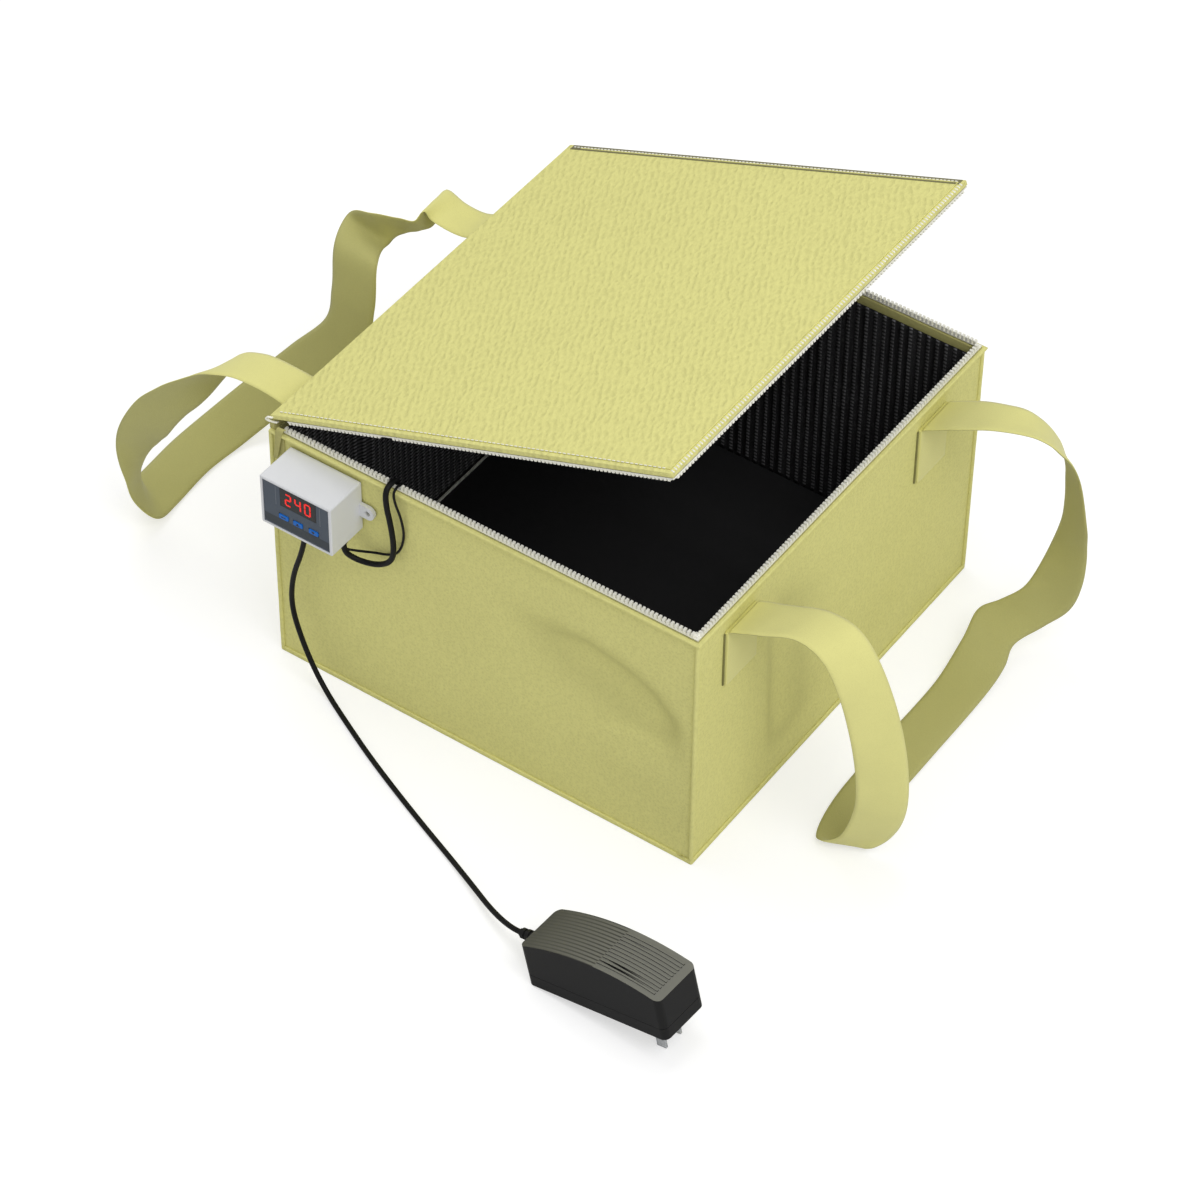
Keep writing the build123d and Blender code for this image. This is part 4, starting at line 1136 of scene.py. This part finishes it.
# Each key's body and the corners of its mark, in millimetres from its middle
key_marks = {
    "button_set": ("set_key", [(-1.6, 0.35), (1.6, 0.35), (1.6, -0.35), (-1.6, -0.35)]),
    "button_up": ("up_key", [(-1.3, -0.8), (0, 1.0), (1.3, -0.8)]),
    "button_down": ("down_key", [(-1.3, 0.8), (1.3, 0.8), (0, -1.0)]),
}
for key, (body, outline) in key_marks.items():
    low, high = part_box(key)
    middle_x = (low[0] + high[0]) / 2
    middle_z = (low[2] + high[2]) / 2
    corners = [(middle_x + x * mm, middle_z + z * mm) for x, z in outline]
    add_prism(key + "_mark", corners, low[1], print_depth, "window", body)


# Folded tape at the near hinge corner
ribbon_section = ((-1, 0.35), (-0.85, 0.5), (0.85, 0.5), (1, 0.35), (1, -0.35), (-1, -0.35))


def add_ribbon(name, points, widths, across, thickness, slot, body):
    """Short folded tape through given points, its width along one direction.

    Points, widths at the two ends and thickness are in millimetres.
    """
    path = smooth_points([Vector(point) * mm for point in points], 6)
    across = Vector(across).normalized()
    vertices = []
    count = len(path)
    for place, middle in enumerate(path):
        ahead = path[min(place + 1, count - 1)] - path[max(place - 1, 0)]
        normal = ahead.cross(across).normalized()
        share = place / (count - 1)
        width = (widths[0] + (widths[1] - widths[0]) * share) * mm / 2
        for sideways, lift in ribbon_section:
            vertices.append(middle + across * sideways * width + normal * lift * thickness * mm)
    add_mesh(name, vertices, tube_faces(count, len(ribbon_section)), slot, body)


add_ribbon(
    "hinge_corner_loop",
    (
        (-140, -144.6, 184.4), (-143, -145.4, 184.2), (-145.6, -146.2, 184.6),
        (-146.6, -146.6, 185.8), (-145.6, -146.3, 187.0), (-142.6, -145.4, 187.2),
    ),
    (1.8, 1.5), (0.2, 1, 0.1), 0.6, "zip_teeth", "bag",
)
add_ribbon(
    "hinge_corner_tab",
    (
        (-136, -146.0, 183.0), (-137, -147.2, 181.4), (-138.2, -147.0, 176),
        (-139.6, -146.6, 168), (-141.5, -146.3, 158),
    ),
    (5.5, 3.0), (1, 0, 0.1), 0.8, "binding_fabric", "bag",
)


# Floor, backdrop and light
floor_size = 6.0
floor_drop = 0.2 * mm
floor_seen = (0.55, 0.55, 0.55, 1)
floor_glow = 0.55
floor_lit = (0.75, 0.75, 0.75, 1)
world_strength = 0.54
softboxes = {
    # name: (place, size, power)
    "key": ((1.5, -0.8, 2.6), 1.4, 29),
    "top": ((-0.8, 0.3, 2.8), 1.6, 21),
    "low": ((1.5, -0.7, 0.55), 0.7, 1.6),
}
lamp_aim = Vector((0, 0, 0.1))


def add_stage():
    """Pale floor that the camera sees a little brighter than it lights the bag."""
    bpy.ops.mesh.primitive_plane_add(size=floor_size, location=(0, 0, -floor_drop))
    floor = bpy.context.active_object
    floor.name = "floor"
    material = bpy.data.materials.new("floor")
    material.use_nodes = True
    tree = material.node_tree
    tree.nodes.clear()
    output = tree.nodes.new("ShaderNodeOutputMaterial")
    matt = tree.nodes.new("ShaderNodeBsdfDiffuse")
    matt.inputs["Color"].default_value = floor_seen
    glow = tree.nodes.new("ShaderNodeEmission")
    glow.inputs["Strength"].default_value = floor_glow
    add = tree.nodes.new("ShaderNodeAddShader")
    tree.links.new(matt.outputs["BSDF"], add.inputs[0])
    tree.links.new(glow.outputs["Emission"], add.inputs[1])
    plain = tree.nodes.new("ShaderNodeBsdfDiffuse")
    plain.inputs["Color"].default_value = floor_lit
    path = tree.nodes.new("ShaderNodeLightPath")
    mix = tree.nodes.new("ShaderNodeMixShader")
    tree.links.new(path.outputs["Is Camera Ray"], mix.inputs["Fac"])
    tree.links.new(plain.outputs["BSDF"], mix.inputs[1])
    tree.links.new(add.outputs["Shader"], mix.inputs[2])
    tree.links.new(mix.outputs["Shader"], output.inputs["Surface"])
    floor.data.materials.append(material)


def add_world():
    """White light all round, which the camera sees as plain white."""
    world = bpy.data.worlds.new("world")
    world.use_nodes = True
    tree = world.node_tree
    background = tree.nodes["Background"]
    background.inputs["Color"].default_value = (1, 1, 1, 1)
    path = tree.nodes.new("ShaderNodeLightPath")
    level = tree.nodes.new("ShaderNodeMapRange")
    level.inputs["To Min"].default_value = world_strength
    level.inputs["To Max"].default_value = 1.0
    tree.links.new(path.outputs["Is Camera Ray"], level.inputs["Value"])
    tree.links.new(level.outputs["Result"], background.inputs["Strength"])
    bpy.context.scene.world = world


def add_softbox(name, place, size, power):
    """Square soft lamp at a place, facing the bag."""
    lamp = bpy.data.lights.new(name, "AREA")
    lamp.size = size
    lamp.energy = power
    item = bpy.data.objects.new(name, lamp)
    bpy.context.scene.collection.objects.link(item)
    item.location = place
    item.rotation_euler = (lamp_aim - Vector(place)).to_track_quat("-Z", "Y").to_euler()


add_stage()
add_world()
for lamp_name, (lamp_place, lamp_size, lamp_power) in softboxes.items():
    add_softbox(lamp_name, lamp_place, lamp_size, lamp_power)
bpy.context.scene.view_settings.view_transform = "Standard"
